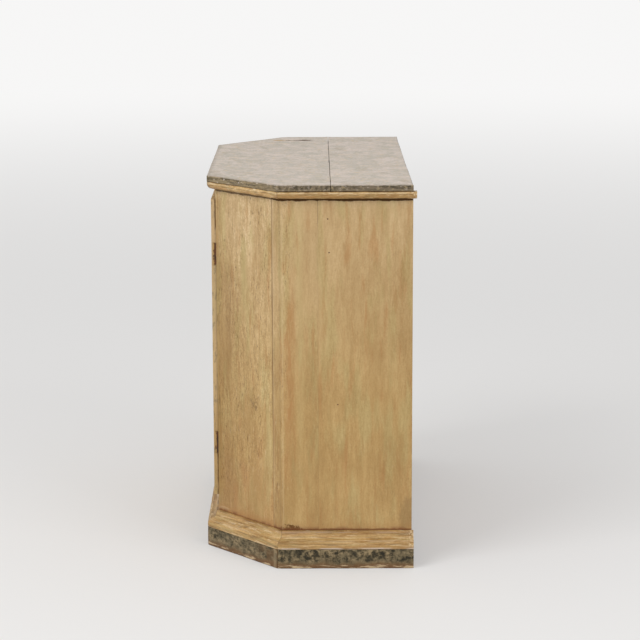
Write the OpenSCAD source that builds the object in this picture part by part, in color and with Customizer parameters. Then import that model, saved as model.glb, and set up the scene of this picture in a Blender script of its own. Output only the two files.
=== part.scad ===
// Demi-console cabinet: a cupboard with a canted front, a pair of panelled doors, a thin top
// of two boards, a bead cornice and a moulded plinth.
// The doors face -Y, the flat back faces +Y, and the floor is at z = 0.

/* [Case] */
// Overall height, from the floor to the upper face of the top
total_h = 920; // [800:1:1100]
// Width of the case over its two sides
case_w = 995; // [900:1:1200]
// Depth of the case, from its front plane to its back
case_d = 468; // [400:1:600]
// Width of the flat front, between its two arrises
front_w = 632; // [560:1:700]
// Depth over which each canted board runs back
cant_run = 160; // [130:1:200]
// Thickness of the side boards and the canted boards
side_t = 25; // [18:1:32]
// Width of the back board in each side
side_back_w = 222; // [150:1:240]
// Thickness of the front rails and the back rail
rail_t = 25; // [22:1:32]
// Height of the back rail
back_rail_h = 60; // [40:1:90]
// Thickness of the back planks
plank_t = 12; // [8:1:18]
// Number of back planks
plank_n = 5; // [3:1:7]
// Gap between two back planks
plank_gap = 0.8; // [0.4:0.2:3]
// Wood left outside the planks in the rebate of each side
rebate_wall = 12; // [8:1:16]
// Height of the planks' lower ends above the floor
plank_lift = 50; // [0:1:90]

/* [Inside] */
// Thickness of the bottom board
bottom_t = 20; // [14:1:28]
// Depth of the housing that holds the bottom board in the sides
housing_d = 6; // [3:1:10]
// Height of the shelf's upper face above the floor
shelf_top = 505; // [420:1:600]
// Thickness of the shelf
shelf_t = 20; // [14:1:28]
// Distance from the front plane to the shelf's front edge
shelf_setback = 60; // [45:1:120]
// Clearance between the shelf and the case
shelf_play = 1; // [0.5:0.5:4]
// Side of the square cleats under the shelf and the bottom board
cleat = 20; // [14:1:30]
// Distance that the side cleats stop short of the planks and the arrises
cleat_stop = 25; // [10:1:60]
// Width of each batten under the top
batten_w = 44; // [30:1:70]
// Thickness of each batten under the top
batten_t = 22; // [14:1:30]
// Distance from the middle to each batten
batten_x = 220; // [120:1:300]
// Length of the glue blocks' legs along the boards
block_leg = 42; // [25:1:60]
// Width of each door stop
stop_w = 60; // [30:1:90]
// Side of each door stop's square section
stop_t = 12; // [8:1:14]
// Distance from the middle to each door stop
stop_x = 165; // [120:1:220]
// Clearance between a closed door and its stops
stop_play = 0.3; // [0.2:0.1:2]

/* [Top] */
// Thickness of the top
top_t = 16; // [12:1:30]
// Overhang of the top past the case
top_over = 20; // [16:1:40]
// Width of the back board of the top
top_back_w = 192; // [150:1:240]
// Open joint between the two boards of the top
top_gap = 0.6; // [0.4:0.1:3]
// Radius of the worn upper edge
top_round = 4; // [1:0.5:8]
// Length of the split near the left end of the top
split_l = 112; // [40:1:140]
// Distance from the case's front plane to the split
split_front = 124; // [90:1:130]
// Greatest width of the split
split_w = 9; // [3:1:16]
// Depth of the split
split_d = 4; // [2:0.5:8]
// Distance from the top's left end to the split
split_in = 84; // [50:1:120]

/* [Cornice] */
// Height of the cornice under the top
cornice_h = 18; // [14:1:30]
// Radius of the cornice's round lower part
cornice_r = 13; // [8:0.5:15]
// Length of the right cornice past the back of the case
cornice_past = 8; // [5:1:12]

/* [Plinth] */
// Height of the plinth boards
plinth_h = 47; // [30:1:90]
// Thickness of the plinth boards, which is how far they stand out
plinth_t = 28; // [26:1:40]
// Length of the plinth past the back of the case
plinth_past = 4; // [0:1:8]
// Height of the flat band at the foot of the base moulding
band_h = 9; // [4:0.5:14]
// Radius of the quarter round over the band
ovolo_r = 8.5; // [4:0.5:10]
// Radius of the bead between the quarter round and the hollow
bead_r = 2; // [1:0.5:3]
// Radius of the hollow
hollow_r = 12.5; // [8:0.5:14]
// Height of the fillet at the top of the base moulding
fillet_h = 6; // [3:0.5:10]

/* [Doors] */
// Thickness of the doors
door_t = 22; // [18:1:28]
// Distance that the doors stand out of the front plane
door_proud = 11; // [10:0.5:14]
// Height of the doors' lower edge above the floor
door_low = 126; // [110:1:180]
// Height of the rail that shows between the doors and the cornice
rail_show = 26; // [18:1:60]
// Clearance round the doors
door_play = 1.5; // [1.2:0.1:3]
// Gap between the two doors
meeting_play = 2; // [1.5:0.5:4]
// Width of the doors' stiles
stile_w = 58; // [52:1:80]
// Height of the doors' top rails
door_rail_h = 62; // [45:1:90]
// Height of the doors' bottom rails
door_foot_h = 78; // [50:1:110]
// Length of the tenons on the doors' rails
tenon_l = 34; // [20:1:44]
// Depth of the grooves that hold a panel
groove_d = 8; // [5:1:12]
// Thickness of a panel's edge, which fills its groove
tongue_t = 6; // [4:0.5:7]
// Clearance between a panel's edge and the bottom of its groove
panel_play = 1; // [0.5:0.5:3]
// Distance from the face of a door back to the border of its panel
panel_sink = 9; // [8:0.5:10]
// Width of the flat border that shows round a panel
border_w = 12; // [10:1:20]
// Width of the bevel inside the border
bevel_w = 28; // [15:1:45]
// Rise of the bevel
bevel_rise = 4; // [2:0.5:5]
// Step from the bevel up to the raised field
field_step = 1.5; // [0.5:0.5:2]
// Width of the moulding round a panel
moulding_w = 10; // [8:0.5:10]
// Width of the flat part of that moulding, beside the frame
moulding_flat = 3; // [2:0.5:4]

/* [Hinges] */
// Length of each hinge
hinge_l = 52; // [40:1:80]
// Distance from each end of a door to the middle of its hinge
hinge_inset = 133; // [60:1:180]
// Radius of the knuckles
knuckle_r = 2.8; // [2.4:0.1:3]
// Number of knuckles on each hinge
knuckle_n = 5; // [3:2:7]
// Radius of the hinge pins
pin_r = 1.4; // [1:0.1:1.6]
// Radial clearance of a pin in the door's knuckles
pin_play = 0.05; // [0.03:0.01:0.1]
// Gap between two knuckles
knuckle_gap = 0.25; // [0.15:0.05:0.5]
// Distance from the front plane out to the hinge axis
hinge_proud = 4.8; // [4.5:0.1:5.5]
// Thickness of a hinge leaf
leaf_t = 1; // [0.8:0.1:1.4]
// Width of a hinge leaf behind the front plane
leaf_w = 9.5; // [8:0.5:10]
// Gap between the two leaves of a closed hinge
leaf_gap = 0.5; // [0.3:0.1:1]
// Clearance round the knuckles, in the notch of the door and beside the other leaf
knuckle_play = 0.4; // [0.3:0.1:1]
// Radius of the heads of a pin
pin_head_r = 2.2; // [1.8:0.1:2.6]
// Height of the heads of a pin
pin_head_h = 1.2; // [0.8:0.1:2]

/* [Knobs] */
// Diameter of the knobs
knob_d = 24; // [18:1:32]
// Distance that a knob stands out of its door
knob_out = 13; // [11:0.5:14]
// Height of the knobs above the floor
knob_z = 560; // [545:1:650]
// Radius of a knob's shank
shank_r = 3; // [2:0.5:4]

/* [Lock] */
// Width of the lock case
lock_w = 36; // [32:1:46]
// Height of the lock case
lock_h = 60; // [50:1:80]
// Thickness of the lock case
lock_t = 9; // [8.5:0.5:11]
// Thickness of the lock case's walls
lock_wall = 1.5; // [1:0.25:1.5]
// Length of the lock bolt
bolt_l = 26; // [25:1:28]
// Height of the lock bolt
bolt_h = 16; // [12:1:20]
// Thickness of the lock bolt
bolt_t = 5; // [4:0.5:5]
// Distance that the lock bolt shoots
bolt_throw = 9; // [6:1:10]
// Clearance round the lock bolt
bolt_play = 0.15; // [0.1:0.05:0.4]
// Distance that the drawn lock bolt lies inside the door's edge
bolt_in = 0.3; // [0.2:0.1:1]
// Distance from the tip of the lock bolt to the post that it slides on
bolt_post = 13; // [12.5:0.5:13]
// Radius of that post
post_r = 1.8; // [1.5:0.1:2]
// Radius of the keyhole's round part
keyhole_r = 3; // [2.5:0.5:4]
// Length of the keyhole's slot
keyhole_l = 9; // [7:1:10]
// Distance from the middle of the lock bolt down to the key
key_drop = 15; // [13:1:17]
// Height of the strike plate
strike_h = 40; // [30:1:56]
// Thickness of the strike plate
strike_t = 1; // [0.5:0.25:2]

/* [Shoot bolts] */
// Radius of the shoot bolts
rod_r = 4; // [3:0.5:5]
// Length of the shoot bolts
rod_l = 108; // [104:1:130]
// Radial clearance of a shoot bolt in its staples
rod_play = 0.08; // [0.03:0.01:0.1]
// Distance that a shoot bolt shoots
rod_throw = 14; // [8:1:16]
// Width of the plates
plate_w = 28; // [20:1:36]
// Length of the plates
plate_l = 88; // [80:1:96]
// Thickness of the plates
plate_t = 1.5; // [1:0.5:2.5]
// Distance from each end of the door to its plate
plate_inset = 5; // [3:1:10]
// Clearance between a shoot bolt and its plate
plate_play = 0.2; // [0.1:0.1:0.5]
// Distance that the drawn shoot bolts lie inside the ends of the door
rod_in = 2; // [1:0.5:4]
// Radial clearance of the shoot bolts in the rails
rod_hole_play = 0.5; // [0.3:0.1:1]
// Length of each staple along its bolt
staple_l = 8; // [5:1:12]
// Distance from the ends of a plate to its staples
staple_in = 2; // [1:0.5:6]
// Thickness of the staples beside their bolt
staple_side = 2; // [1.5:0.5:3]
// Thickness of the staples behind their bolt
staple_back = 1.5; // [1:0.5:3]
// Distance that a shoot bolt's grip stands out of the bolt
grip_l = 8; // [6:1:14]
// Radius of the grip
grip_r = 3; // [2:0.5:3.5]

/* [Hidden] */
$fn = 64;

// Colours
top_paint = [0.74, 0.71, 0.66];
case_paint = [0.75, 0.65, 0.47];
trim_paint = [0.77, 0.66, 0.45];
plinth_paint = [0.27, 0.28, 0.22];
bare_wood = [0.60, 0.47, 0.33];
iron = [0.32, 0.25, 0.20];
brass = [0.66, 0.52, 0.27];

// The plan of the case: its front plane lies at y = 0
half_w = case_w / 2;
half_front = front_w / 2;
cant_a = atan2(cant_run, half_w - half_front);
back_inner = case_d - plank_t;
back_reach = case_d + max(cornice_past, plinth_past);
mid_y = (back_reach - plinth_t) / 2;
side_joint_y = case_d - side_back_w;
top_joint_y = case_d - top_back_w;

// Heights
case_h = total_h - top_t;
moulding_h = band_h + ovolo_r + 2 * bead_r + hollow_r + fillet_h;
door_high = case_h - cornice_h - rail_show;
door_mid_z = (door_low + door_high) / 2;
opening_low = door_low - door_play;
opening_high = door_high + door_play;

// Doors
door_front = -door_proud;
door_back = door_t - door_proud;
door_inner_x = meeting_play / 2;
door_outer_x = half_front - door_play;
panel_x1 = door_inner_x + stile_w;
panel_x2 = door_outer_x - stile_w;
panel_z1 = door_low + door_foot_h;
panel_z2 = door_high - door_rail_h;
tongue_front = door_front + panel_sink;
knob_x = door_inner_x + stile_w / 2;
// The heights between which the tenons of the bottom and top rails stand
foot_tenon = [door_low + groove_d, panel_z1 - groove_d];
rail_tenon = [panel_z2 + groove_d, door_high - groove_d];

// Hinges
hinge_x = half_front - door_play / 2;
knuckle_l = (hinge_l - (knuckle_n - 1) * knuckle_gap) / knuckle_n;
hinge_bottoms = [door_low + hinge_inset - hinge_l / 2, door_high - hinge_inset - hinge_l / 2];

// Lock
bolt_y = door_back - lock_t / 2;
bolt_tip_x = door_inner_x + bolt_in;
post_x = bolt_tip_x + bolt_post;

// Shoot bolts
rod_y = door_back + plate_t + rod_r + plate_play;

// Clearance for cuts that run past a face
past = 1;

// The plan point of an arris where heading turns from a1 to a2, moved out by o
function arris(p, a1, a2, o) = p + o / cos((a2 - a1) / 2) * [sin((a1 + a2) / 2), -cos((a1 + a2) / 2)];
function front_arris(o) = arris([half_front, 0], 0, cant_a, o);
function side_arris(o) = arris([half_w, cant_run], cant_a, 90, o);

// Where the canted face, moved out by o, crosses a given x or y
function cant_y(o, x) = (x - half_front - o * sin(cant_a)) * tan(cant_a) - o * cos(cant_a);
function cant_x(o, y) = half_front + o * sin(cant_a) + (y + o * cos(cant_a)) / tan(cant_a);

// A list of plan points for the right half, closed with its mirror image
function both_halves(right) = concat(
    right,
    [for (i = [len(right) - 1:-1:0]) [-right[i].x, right[i].y]]
);

// The outline of a board inside the case: o is its offset from the case's outer faces
function inner_outline(o, front, back) = both_halves([
    [cant_x(o, front), front],
    side_arris(o),
    [half_w + o, back]
]);

// Puts the part's origin under the middle of its box
module place() {
    translate([0, -mid_y, 0]) children();
}

// Draws on the right side for s = 1 and on the left side for s = -1
module sided(s) {
    if (s > 0) children();
    else mirror([1, 0, 0]) children();
}

// A box between two corners
module box(a, b) {
    translate(a) cube(b - a);
}

// Raises a plan outline from z1 to z2
module board(points, z1, z2) {
    translate([0, 0, z1]) linear_extrude(z2 - z1) polygon(points);
}

// Runs a moulding's section along the case from plan point a to b, and cuts it to its mitres.
// The section's x axis points out of the case.
module moulding_run(a, b, cut, z, h) {
    run = norm(b - a) + 4 * plinth_t;
    intersection() {
        translate([(a.x + b.x) / 2, (a.y + b.y) / 2, z])
            rotate([0, 0, atan2(b.y - a.y, b.x - a.x)])
                rotate([90, 0, 90])
                    linear_extrude(run, center = true) mirror([1, 0]) children();
        board(cut, z - past, z + h + past);
    }
}

// The three kinds of run, each reaching out by o
module front_run(o, z, h) {
    a = front_arris(0);
    cut = both_halves([front_arris(-past), front_arris(o + past)]);
    moulding_run([-a.x, a.y], a, cut, z, h) children();
}

module cant_run_of(o, z, h) {
    cut = [front_arris(-past), front_arris(o + past), side_arris(o + past), side_arris(-past)];
    moulding_run(front_arris(0), side_arris(0), cut, z, h) children();
}

module side_run(o, z, h, back) {
    out = half_w + o + past;
    cut = [side_arris(-past), side_arris(o + past), [out, back], [half_w - past, back]];
    moulding_run(side_arris(0), [half_w, back], cut, z, h) children();
}

// Top

// The section across an edge of the top, from far inside it to the worn upper edge
module top_section() {
    r = top_round;
    within = 2 * case_w;
    translate([-within, 0]) square([within + top_over - r, top_t]);
    translate([-within, 0]) square([within + top_over, top_t - r]);
    translate([top_over - r, top_t - r]) circle(r);
}

// The part of the top's thickness that lies behind one edge, whose wall has plan point p and heading a
module behind_edge(p, a) {
    translate([p.x, p.y, case_h])
        rotate([0, 0, a]) rotate([90, 0, 90])
            linear_extrude(3 * case_w, center = true) mirror([1, 0]) top_section();
}

// The top between two depths: its front, canted and side edges meet at mitres
module top_slab(front, back) {
    intersection() {
        box([-case_w, front, case_h - past], [case_w, back, total_h + past]);
        behind_edge([0, 0], 0);
        intersection_for (s = [-1, 1])
            sided(s) intersection() {
                behind_edge(front_arris(0), cant_a);
                behind_edge(side_arris(0), 90);
            }
    }
}

// A long shallow split where the wood has opened and chipped
module split() {
    translate([-half_w - top_over + split_in, split_front, total_h - split_d])
        linear_extrude(split_d + past)
            polygon([[0, 0], [split_w, split_l / 2], [0, split_l]]);
}

module top_front_board() {
    color(top_paint) place() difference() {
        top_slab(-case_d, top_joint_y - top_gap);
        split();
    }
}

module top_back_board() {
    color(top_paint) place() top_slab(top_joint_y, case_d);
}

module top_battens() {
    color(bare_wood) place()
        for (s = [-1, 1]) {
            x = s * batten_x;
            box([x - batten_w / 2, rail_t, case_h - batten_t],
                [x + batten_w / 2, back_inner - rail_t, case_h]);
        }
}

// Cornice

module cornice_section() {
    foot = top_over - cornice_r;
    square([foot, cornice_h]);
    translate([0, cornice_r]) square([top_over, cornice_h - cornice_r]);
    intersection() {
        translate([foot, cornice_r]) circle(cornice_r);
        square([top_over, cornice_h]);
    }
}

module cornice_front() {
    color(trim_paint) place()
        front_run(top_over, case_h - cornice_h, cornice_h) cornice_section();
}

module cornice_cant(s) {
    color(trim_paint) place() sided(s)
        cant_run_of(top_over, case_h - cornice_h, cornice_h) cornice_section();
}

// The left cornice is flush with the case's back
module cornice_side(s) {
    past_back = s > 0 ? cornice_past : 0;
    color(trim_paint) place() sided(s)
        side_run(top_over, case_h - cornice_h, cornice_h, case_d + past_back) cornice_section();
}

// Case

module bottom_solid() {
    board(inner_outline(housing_d - side_t, rail_t, back_inner), opening_low - bottom_t, opening_low);
}

module side_front_board(s) {
    inner_x = half_w - side_t;
    color(case_paint) place() sided(s) difference() {
        board([side_arris(0), [half_w, side_joint_y], [inner_x, side_joint_y], [inner_x, cant_y(0, inner_x)]],
            0, case_h);
        bottom_solid();
    }
}

module side_back_board(s) {
    inner_x = half_w - side_t;
    rebate_x = half_w - rebate_wall;
    color(case_paint) place() sided(s) difference() {
        board([
            [half_w, side_joint_y], [half_w, case_d], [rebate_x, case_d],
            [rebate_x, back_inner], [inner_x, back_inner], [inner_x, side_joint_y]
        ], 0, case_h);
        bottom_solid();
    }
}

// The front end of a canted board is the jamb that carries a door's hinges
module cant_board(s) {
    inner_x = half_w - side_t;
    thick = side_t / cos(cant_a);
    leaf_out = hinge_x + leaf_gap / 2 + leaf_t;
    color(case_paint) place() sided(s) difference() {
        board([
            [half_front, 0], [inner_x, cant_y(0, inner_x)],
            [inner_x, cant_y(0, inner_x) + thick], [half_front, thick]
        ], 0, case_h);
        bottom_solid();
        for (z = hinge_bottoms)
            box([half_front - past, -past, z], [leaf_out, leaf_w, z + hinge_l]);
    }
}

module top_rail() {
    color(case_paint) place() difference() {
        box([-half_front, 0, opening_high], [half_front, rail_t, case_h]);
        translate([-knob_x, rod_y, opening_high - past])
            cylinder(h = rod_throw + past, r = rod_r + rod_hole_play);
    }
}

module bottom_rail() {
    color(case_paint) place() difference() {
        box([-half_front, 0, 0], [half_front, rail_t, opening_low]);
        translate([-knob_x, rod_y, opening_low - rod_throw])
            cylinder(h = rod_throw + past, r = rod_r + rod_hole_play);
    }
}

module back_rail() {
    inner_x = half_w - side_t;
    color(bare_wood) place()
        box([-inner_x, back_inner - rail_t, case_h - back_rail_h], [inner_x, back_inner, case_h]);
}

module back_planks() {
    span = case_w - 2 * rebate_wall;
    plank_w = (span - (plank_n - 1) * plank_gap) / plank_n;
    color(bare_wood) place()
        for (i = [0:plank_n - 1]) {
            x = -span / 2 + i * (plank_w + plank_gap);
            box([x, back_inner, plank_lift], [x + plank_w, case_d, case_h]);
        }
}

module bottom_board() {
    color(bare_wood) place() bottom_solid();
}

// A square bar against each side's inner face, under a board whose lower face is at z
module side_cleat(z) {
    inner_x = half_w - side_t;
    box([inner_x - cleat, side_arris(-side_t).y + cleat_stop, z - cleat],
        [inner_x, back_inner - cleat_stop, z]);
}

// A square bar against each canted board's inner face
module cant_cleat(z) {
    a = [cant_x(-side_t, shelf_setback), shelf_setback];
    run = norm(side_arris(-side_t) - a) - 2 * cleat_stop;
    translate([a.x, a.y, z - cleat])
        rotate([0, 0, cant_a])
            translate([cleat_stop, 0, 0]) cube([run, cleat, cleat]);
}

module bottom_bearers() {
    color(bare_wood) place()
        for (s = [-1, 1])
            sided(s) side_cleat(opening_low - bottom_t);
}

module shelf() {
    o = -side_t - shelf_play;
    color(bare_wood) place()
        board(inner_outline(o, shelf_setback, back_inner - shelf_play), shelf_top - shelf_t, shelf_top);
}

module shelf_cleats() {
    z = shelf_top - shelf_t;
    back_x = half_w - side_t - cleat - cleat_stop;
    color(bare_wood) place() {
        for (s = [-1, 1])
            sided(s) {
                side_cleat(z);
                cant_cleat(z);
            }
        box([-back_x, back_inner - cleat, z - cleat], [back_x, back_inner, z]);
    }
}

// Blocks rubbed into the corners under the bottom board
module glue_blocks() {
    thick = side_t / cos(cant_a);
    corner = side_arris(-side_t);
    along = [cos(cant_a), sin(cant_a)];
    top = opening_low - bottom_t;
    color(bare_wood) place()
        for (s = [-1, 1])
            sided(s) {
                board([corner, corner + [0, block_leg / 2], corner - along * block_leg], plinth_h, top);
                board([
                    [half_front - block_leg, rail_t], [half_front, rail_t],
                    [half_front, thick], [half_front, thick] + along * block_leg / 2
                ], plinth_h, top);
            }
}

module door_stops() {
    y1 = door_back + stop_play;
    color(bare_wood) place()
        for (s = [-1, 1], z = [opening_low, opening_high - stop_t])
            box([s * stop_x - stop_w / 2, y1, z], [s * stop_x + stop_w / 2, y1 + stop_t, z + stop_t]);
}

// Plinth and base moulding

module plinth_section() {
    square([plinth_t, plinth_h]);
}

module plinth_front() {
    color(plinth_paint) place() front_run(plinth_t, 0, plinth_h) plinth_section();
}

module plinth_cant(s) {
    color(plinth_paint) place() sided(s) cant_run_of(plinth_t, 0, plinth_h) plinth_section();
}

module plinth_side(s) {
    color(plinth_paint) place() sided(s)
        side_run(plinth_t, 0, plinth_h, case_d + plinth_past) plinth_section();
}

module base_section() {
    step = plinth_t - ovolo_r;
    bead_z = band_h + ovolo_r + bead_r;
    hollow_z = bead_z + bead_r + hollow_r;
    square([plinth_t, band_h]);
    intersection() {
        translate([step, band_h]) circle(ovolo_r);
        square([plinth_t, band_h + ovolo_r]);
    }
    square([step, bead_z + bead_r]);
    translate([step, bead_z]) circle(bead_r);
    difference() {
        square([step, hollow_z]);
        translate([step, hollow_z]) circle(hollow_r);
    }
    square([step - hollow_r, moulding_h]);
}

module base_moulding_front() {
    color(trim_paint) place() front_run(plinth_t, plinth_h, moulding_h) base_section();
}

module base_moulding_cant(s) {
    color(trim_paint) place() sided(s) cant_run_of(plinth_t, plinth_h, moulding_h) base_section();
}

module base_moulding_side(s) {
    color(trim_paint) place() sided(s)
        side_run(plinth_t, plinth_h, moulding_h, case_d + plinth_past) base_section();
}

// Doors. Each is drawn as the right-hand one and mirrored for the left.

// The space that a door's panel and its grooves take up
module panel_groove() {
    box([panel_x1 - groove_d, tongue_front, panel_z1 - groove_d],
        [panel_x2 + groove_d, tongue_front + tongue_t, panel_z2 + groove_d]);
}

// The tenons of a door's rail, or with the rail's own height the mortises for them
module tenons(z1, z2) {
    for (x = [panel_x1 - tenon_l, panel_x2])
        box([x, tongue_front, z1], [x + tenon_l, tongue_front + tongue_t, z2]);
}

module mortises() {
    tenons(foot_tenon[0], foot_tenon[1]);
    tenons(rail_tenon[0], rail_tenon[1]);
}

module door_hinge_stile(s) {
    head_room = pin_head_h + knuckle_play;
    color(case_paint) place() sided(s) difference() {
        box([panel_x2, door_front, door_low], [door_outer_x, door_back, door_high]);
        panel_groove();
        mortises();
        for (z = hinge_bottoms) {
            translate([hinge_x, -hinge_proud, z - head_room])
                cylinder(h = hinge_l + 2 * head_room, r = knuckle_r + knuckle_play);
            box([hinge_x - leaf_gap / 2 - leaf_t, -hinge_proud, z],
                [door_outer_x + past, leaf_w, z + hinge_l]);
        }
    }
}

module meeting_stile() {
    difference() {
        box([door_inner_x, door_front, door_low], [panel_x1, door_back, door_high]);
        panel_groove();
        mortises();
        translate([knob_x, 0, knob_z])
            rotate([90, 0, 0]) cylinder(h = 4 * door_t, r = shank_r, center = true);
    }
}

module door_right_meeting_stile() {
    color(case_paint) place() difference() {
        meeting_stile();
        lock_space();
        keyhole();
    }
}

module door_left_meeting_stile() {
    color(case_paint) place() difference() {
        mirror([1, 0, 0]) meeting_stile();
        strike_space();
        bolt_mortise();
    }
}

module door_top_rail(s) {
    color(case_paint) place() sided(s) difference() {
        union() {
            box([panel_x1, door_front, panel_z2], [panel_x2, door_back, door_high]);
            tenons(rail_tenon[0], rail_tenon[1]);
        }
        panel_groove();
    }
}

module door_bottom_rail(s) {
    color(case_paint) place() sided(s) difference() {
        union() {
            box([panel_x1, door_front, door_low], [panel_x2, door_back, panel_z1]);
            tenons(foot_tenon[0], foot_tenon[1]);
        }
        panel_groove();
    }
}

// The section across a raised panel of width w: its border, bevel and raised field
module panel_section(w) {
    flat = groove_d - panel_play + border_w;
    inner = flat + bevel_w;
    top = tongue_t + bevel_rise;
    polygon([
        [0, 0], [w, 0], [w, tongue_t], [w - flat, tongue_t], [w - inner, top],
        [w - inner, top + field_step], [inner, top + field_step], [inner, top],
        [flat, tongue_t], [0, tongue_t]
    ]);
}

module door_panel(s) {
    reach = groove_d - panel_play;
    w = panel_x2 - panel_x1 + 2 * reach;
    h = panel_z2 - panel_z1 + 2 * reach;
    color(case_paint) place() sided(s)
        translate([panel_x1 - reach, tongue_front + tongue_t, panel_z1 - reach])
            intersection() {
                mirror([0, 1, 0]) linear_extrude(h) panel_section(w);
                translate([w, 0, 0]) rotate([0, -90, 0]) linear_extrude(w) mirror([0, 1]) panel_section(h);
            }
}

// The section of the moulding round a panel: x runs in from the frame, y out from the panel
module panel_moulding_section() {
    r = moulding_w - moulding_flat;
    square([moulding_flat, panel_sink - field_step]);
    intersection() {
        translate([moulding_flat, 0]) circle(r);
        square([moulding_w, panel_sink]);
    }
}

// One mitred strip of that moulding of length l, lying along +X with the frame below it
module panel_moulding_strip(l) {
    intersection() {
        rotate([90, 0, 90]) linear_extrude(l) panel_moulding_section();
        linear_extrude(panel_sink)
            polygon([[0, 0], [l, 0], [l - moulding_w, moulding_w], [moulding_w, moulding_w]]);
    }
}

module door_moulding(s) {
    w = panel_x2 - panel_x1;
    h = panel_z2 - panel_z1;
    color(trim_paint) place() sided(s)
        translate([(panel_x1 + panel_x2) / 2, tongue_front, (panel_z1 + panel_z2) / 2])
            rotate([90, 0, 0])
                for (i = [0:3]) {
                    along = i % 2 == 0 ? w : h;
                    across = i % 2 == 0 ? h : w;
                    rotate([0, 0, 90 * i])
                        translate([-along / 2, -across / 2, 0]) panel_moulding_strip(along);
                }
}

module knob(s) {
    rim = 4;
    rose_r = 9;
    rose_t = 1.5;
    neck_r = 4.5;
    nut_r = 6;
    nut_t = 3;
    color(brass) place() sided(s) {
        translate([knob_x, door_front, knob_z])
            rotate([90, 0, 0]) rotate_extrude() {
                square([rose_r, rose_t]);
                square([neck_r, knob_out - rim]);
                translate([knob_d / 2 - rim, knob_out - rim]) intersection() {
                    circle(rim);
                    translate([-rim / 2, -rim]) square(2 * rim);
                }
                translate([0, knob_out - 2 * rim]) square([knob_d / 2 - rim, 2 * rim]);
            }
        translate([knob_x, door_back + nut_t, knob_z]) rotate([90, 0, 0]) {
            cylinder(h = door_t + nut_t, r = shank_r);
            cylinder(h = nut_t, r = nut_r);
        }
    }
}

// Hinges. The case's leaf has the first and last knuckles, and the door's leaf has the others.

// Draws its children at each hinge of the right-hand door, with z = 0 at the hinge's lower end
module at_hinges() {
    for (z = hinge_bottoms)
        translate([hinge_x, -hinge_proud, z]) children();
}

// One leaf beside the axis, with every second knuckle from the first one on
module leaf(first, bore_r) {
    root = knuckle_r + knuckle_play;
    difference() {
        union() {
            translate([leaf_gap / 2, root, 0]) cube([leaf_t, hinge_proud + leaf_w - root, hinge_l]);
            for (i = [first:2:knuckle_n - 1])
                translate([0, 0, i * (knuckle_l + knuckle_gap)]) {
                    cylinder(h = knuckle_l, r = knuckle_r);
                    translate([leaf_gap / 2, 0, 0]) cube([leaf_t, root + past, knuckle_l]);
                }
        }
        translate([0, 0, -past]) cylinder(h = hinge_l + 2 * past, r = bore_r);
    }
}

module hinge_case_leaves(s) {
    color(iron) place() sided(s) at_hinges() leaf(0, pin_r);
}

module hinge_door_leaves(s) {
    color(iron) place() sided(s) at_hinges() mirror([1, 0, 0]) leaf(1, pin_r + pin_play);
}

module hinge_pins(s) {
    color(iron) place() sided(s) at_hinges() {
        cylinder(h = hinge_l, r = pin_r);
        translate([0, 0, -pin_head_h]) cylinder(h = pin_head_h, r = pin_head_r);
        translate([0, 0, hinge_l]) cylinder(h = pin_head_h, r = pin_head_r);
    }
}

// Lock

module lock_space() {
    box([door_inner_x - past, door_back - lock_t, door_mid_z - lock_h / 2],
        [door_inner_x + lock_w, door_back + past, door_mid_z + lock_h / 2]);
}

// A round hole with a slot under it, through the face of the door and of the lock
module keyhole() {
    z = door_mid_z - key_drop;
    depth = door_t - lock_t + lock_wall + past;
    translate([post_x, door_front - past, z]) {
        rotate([-90, 0, 0]) cylinder(h = depth, r = keyhole_r);
        translate([-keyhole_r / 2, 0, -keyhole_l]) cube([keyhole_r, depth, keyhole_l]);
    }
}

module lock_case() {
    half_h = lock_h / 2;
    key_pin_r = 1;
    lo = [door_inner_x, door_back - lock_t, door_mid_z - half_h];
    hi = [door_inner_x + lock_w, door_back, door_mid_z + half_h];
    wall = [lock_wall, lock_wall, lock_wall];
    slot = [0, bolt_t / 2 + bolt_play, bolt_h / 2 + bolt_play];
    color(iron) place() {
        difference() {
            box(lo, hi);
            box(lo + wall, hi - wall);
            box([lo.x - past, bolt_y, door_mid_z] - slot, [lo.x + lock_wall + past, bolt_y, door_mid_z] + slot);
            keyhole();
        }
        for (post = [[door_mid_z, post_r], [door_mid_z - key_drop, key_pin_r]])
            translate([post_x, hi.y - lock_wall, post[0]])
                rotate([90, 0, 0]) cylinder(h = lock_t - 2 * lock_wall, r = post[1]);
    }
}

// The bolt slides on a post, which passes through its slot, and the key turns in its notch
module lock_bolt() {
    slot_h = post_r + bolt_play;
    notch = 4;
    color(iron) place() difference() {
        box([bolt_tip_x, bolt_y - bolt_t / 2, door_mid_z - bolt_h / 2],
            [bolt_tip_x + bolt_l, bolt_y + bolt_t / 2, door_mid_z + bolt_h / 2]);
        box([post_x - slot_h, bolt_y - bolt_t, door_mid_z - slot_h],
            [post_x + slot_h + bolt_throw, bolt_y + bolt_t, door_mid_z + slot_h]);
        box([post_x - notch / 2, bolt_y - bolt_t, door_mid_z - bolt_h / 2 - past],
            [post_x + notch / 2, bolt_y + bolt_t, door_mid_z - bolt_h / 2 + notch]);
    }
}

// The plate let into the edge of the left door, with a slot for the lock bolt
module strike_space() {
    box([-door_inner_x - strike_t, door_back - lock_t, door_mid_z - strike_h / 2],
        [-door_inner_x + past, door_back, door_mid_z + strike_h / 2]);
}

module bolt_mortise() {
    slot = [0, bolt_t / 2 + 2 * bolt_play, bolt_h / 2 + 2 * bolt_play];
    depth = bolt_throw + strike_t + meeting_play;
    box([-door_inner_x - depth, bolt_y, door_mid_z] - slot, [-door_inner_x + past, bolt_y, door_mid_z] + slot);
}

module lock_strike() {
    color(iron) place() difference() {
        intersection() {
            strike_space();
            box([-half_front, door_front, 0], [-door_inner_x, door_back, total_h]);
        }
        bolt_mortise();
    }
}

// Shoot bolts on the back of the left door, drawn for its top and turned over for its bottom

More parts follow.
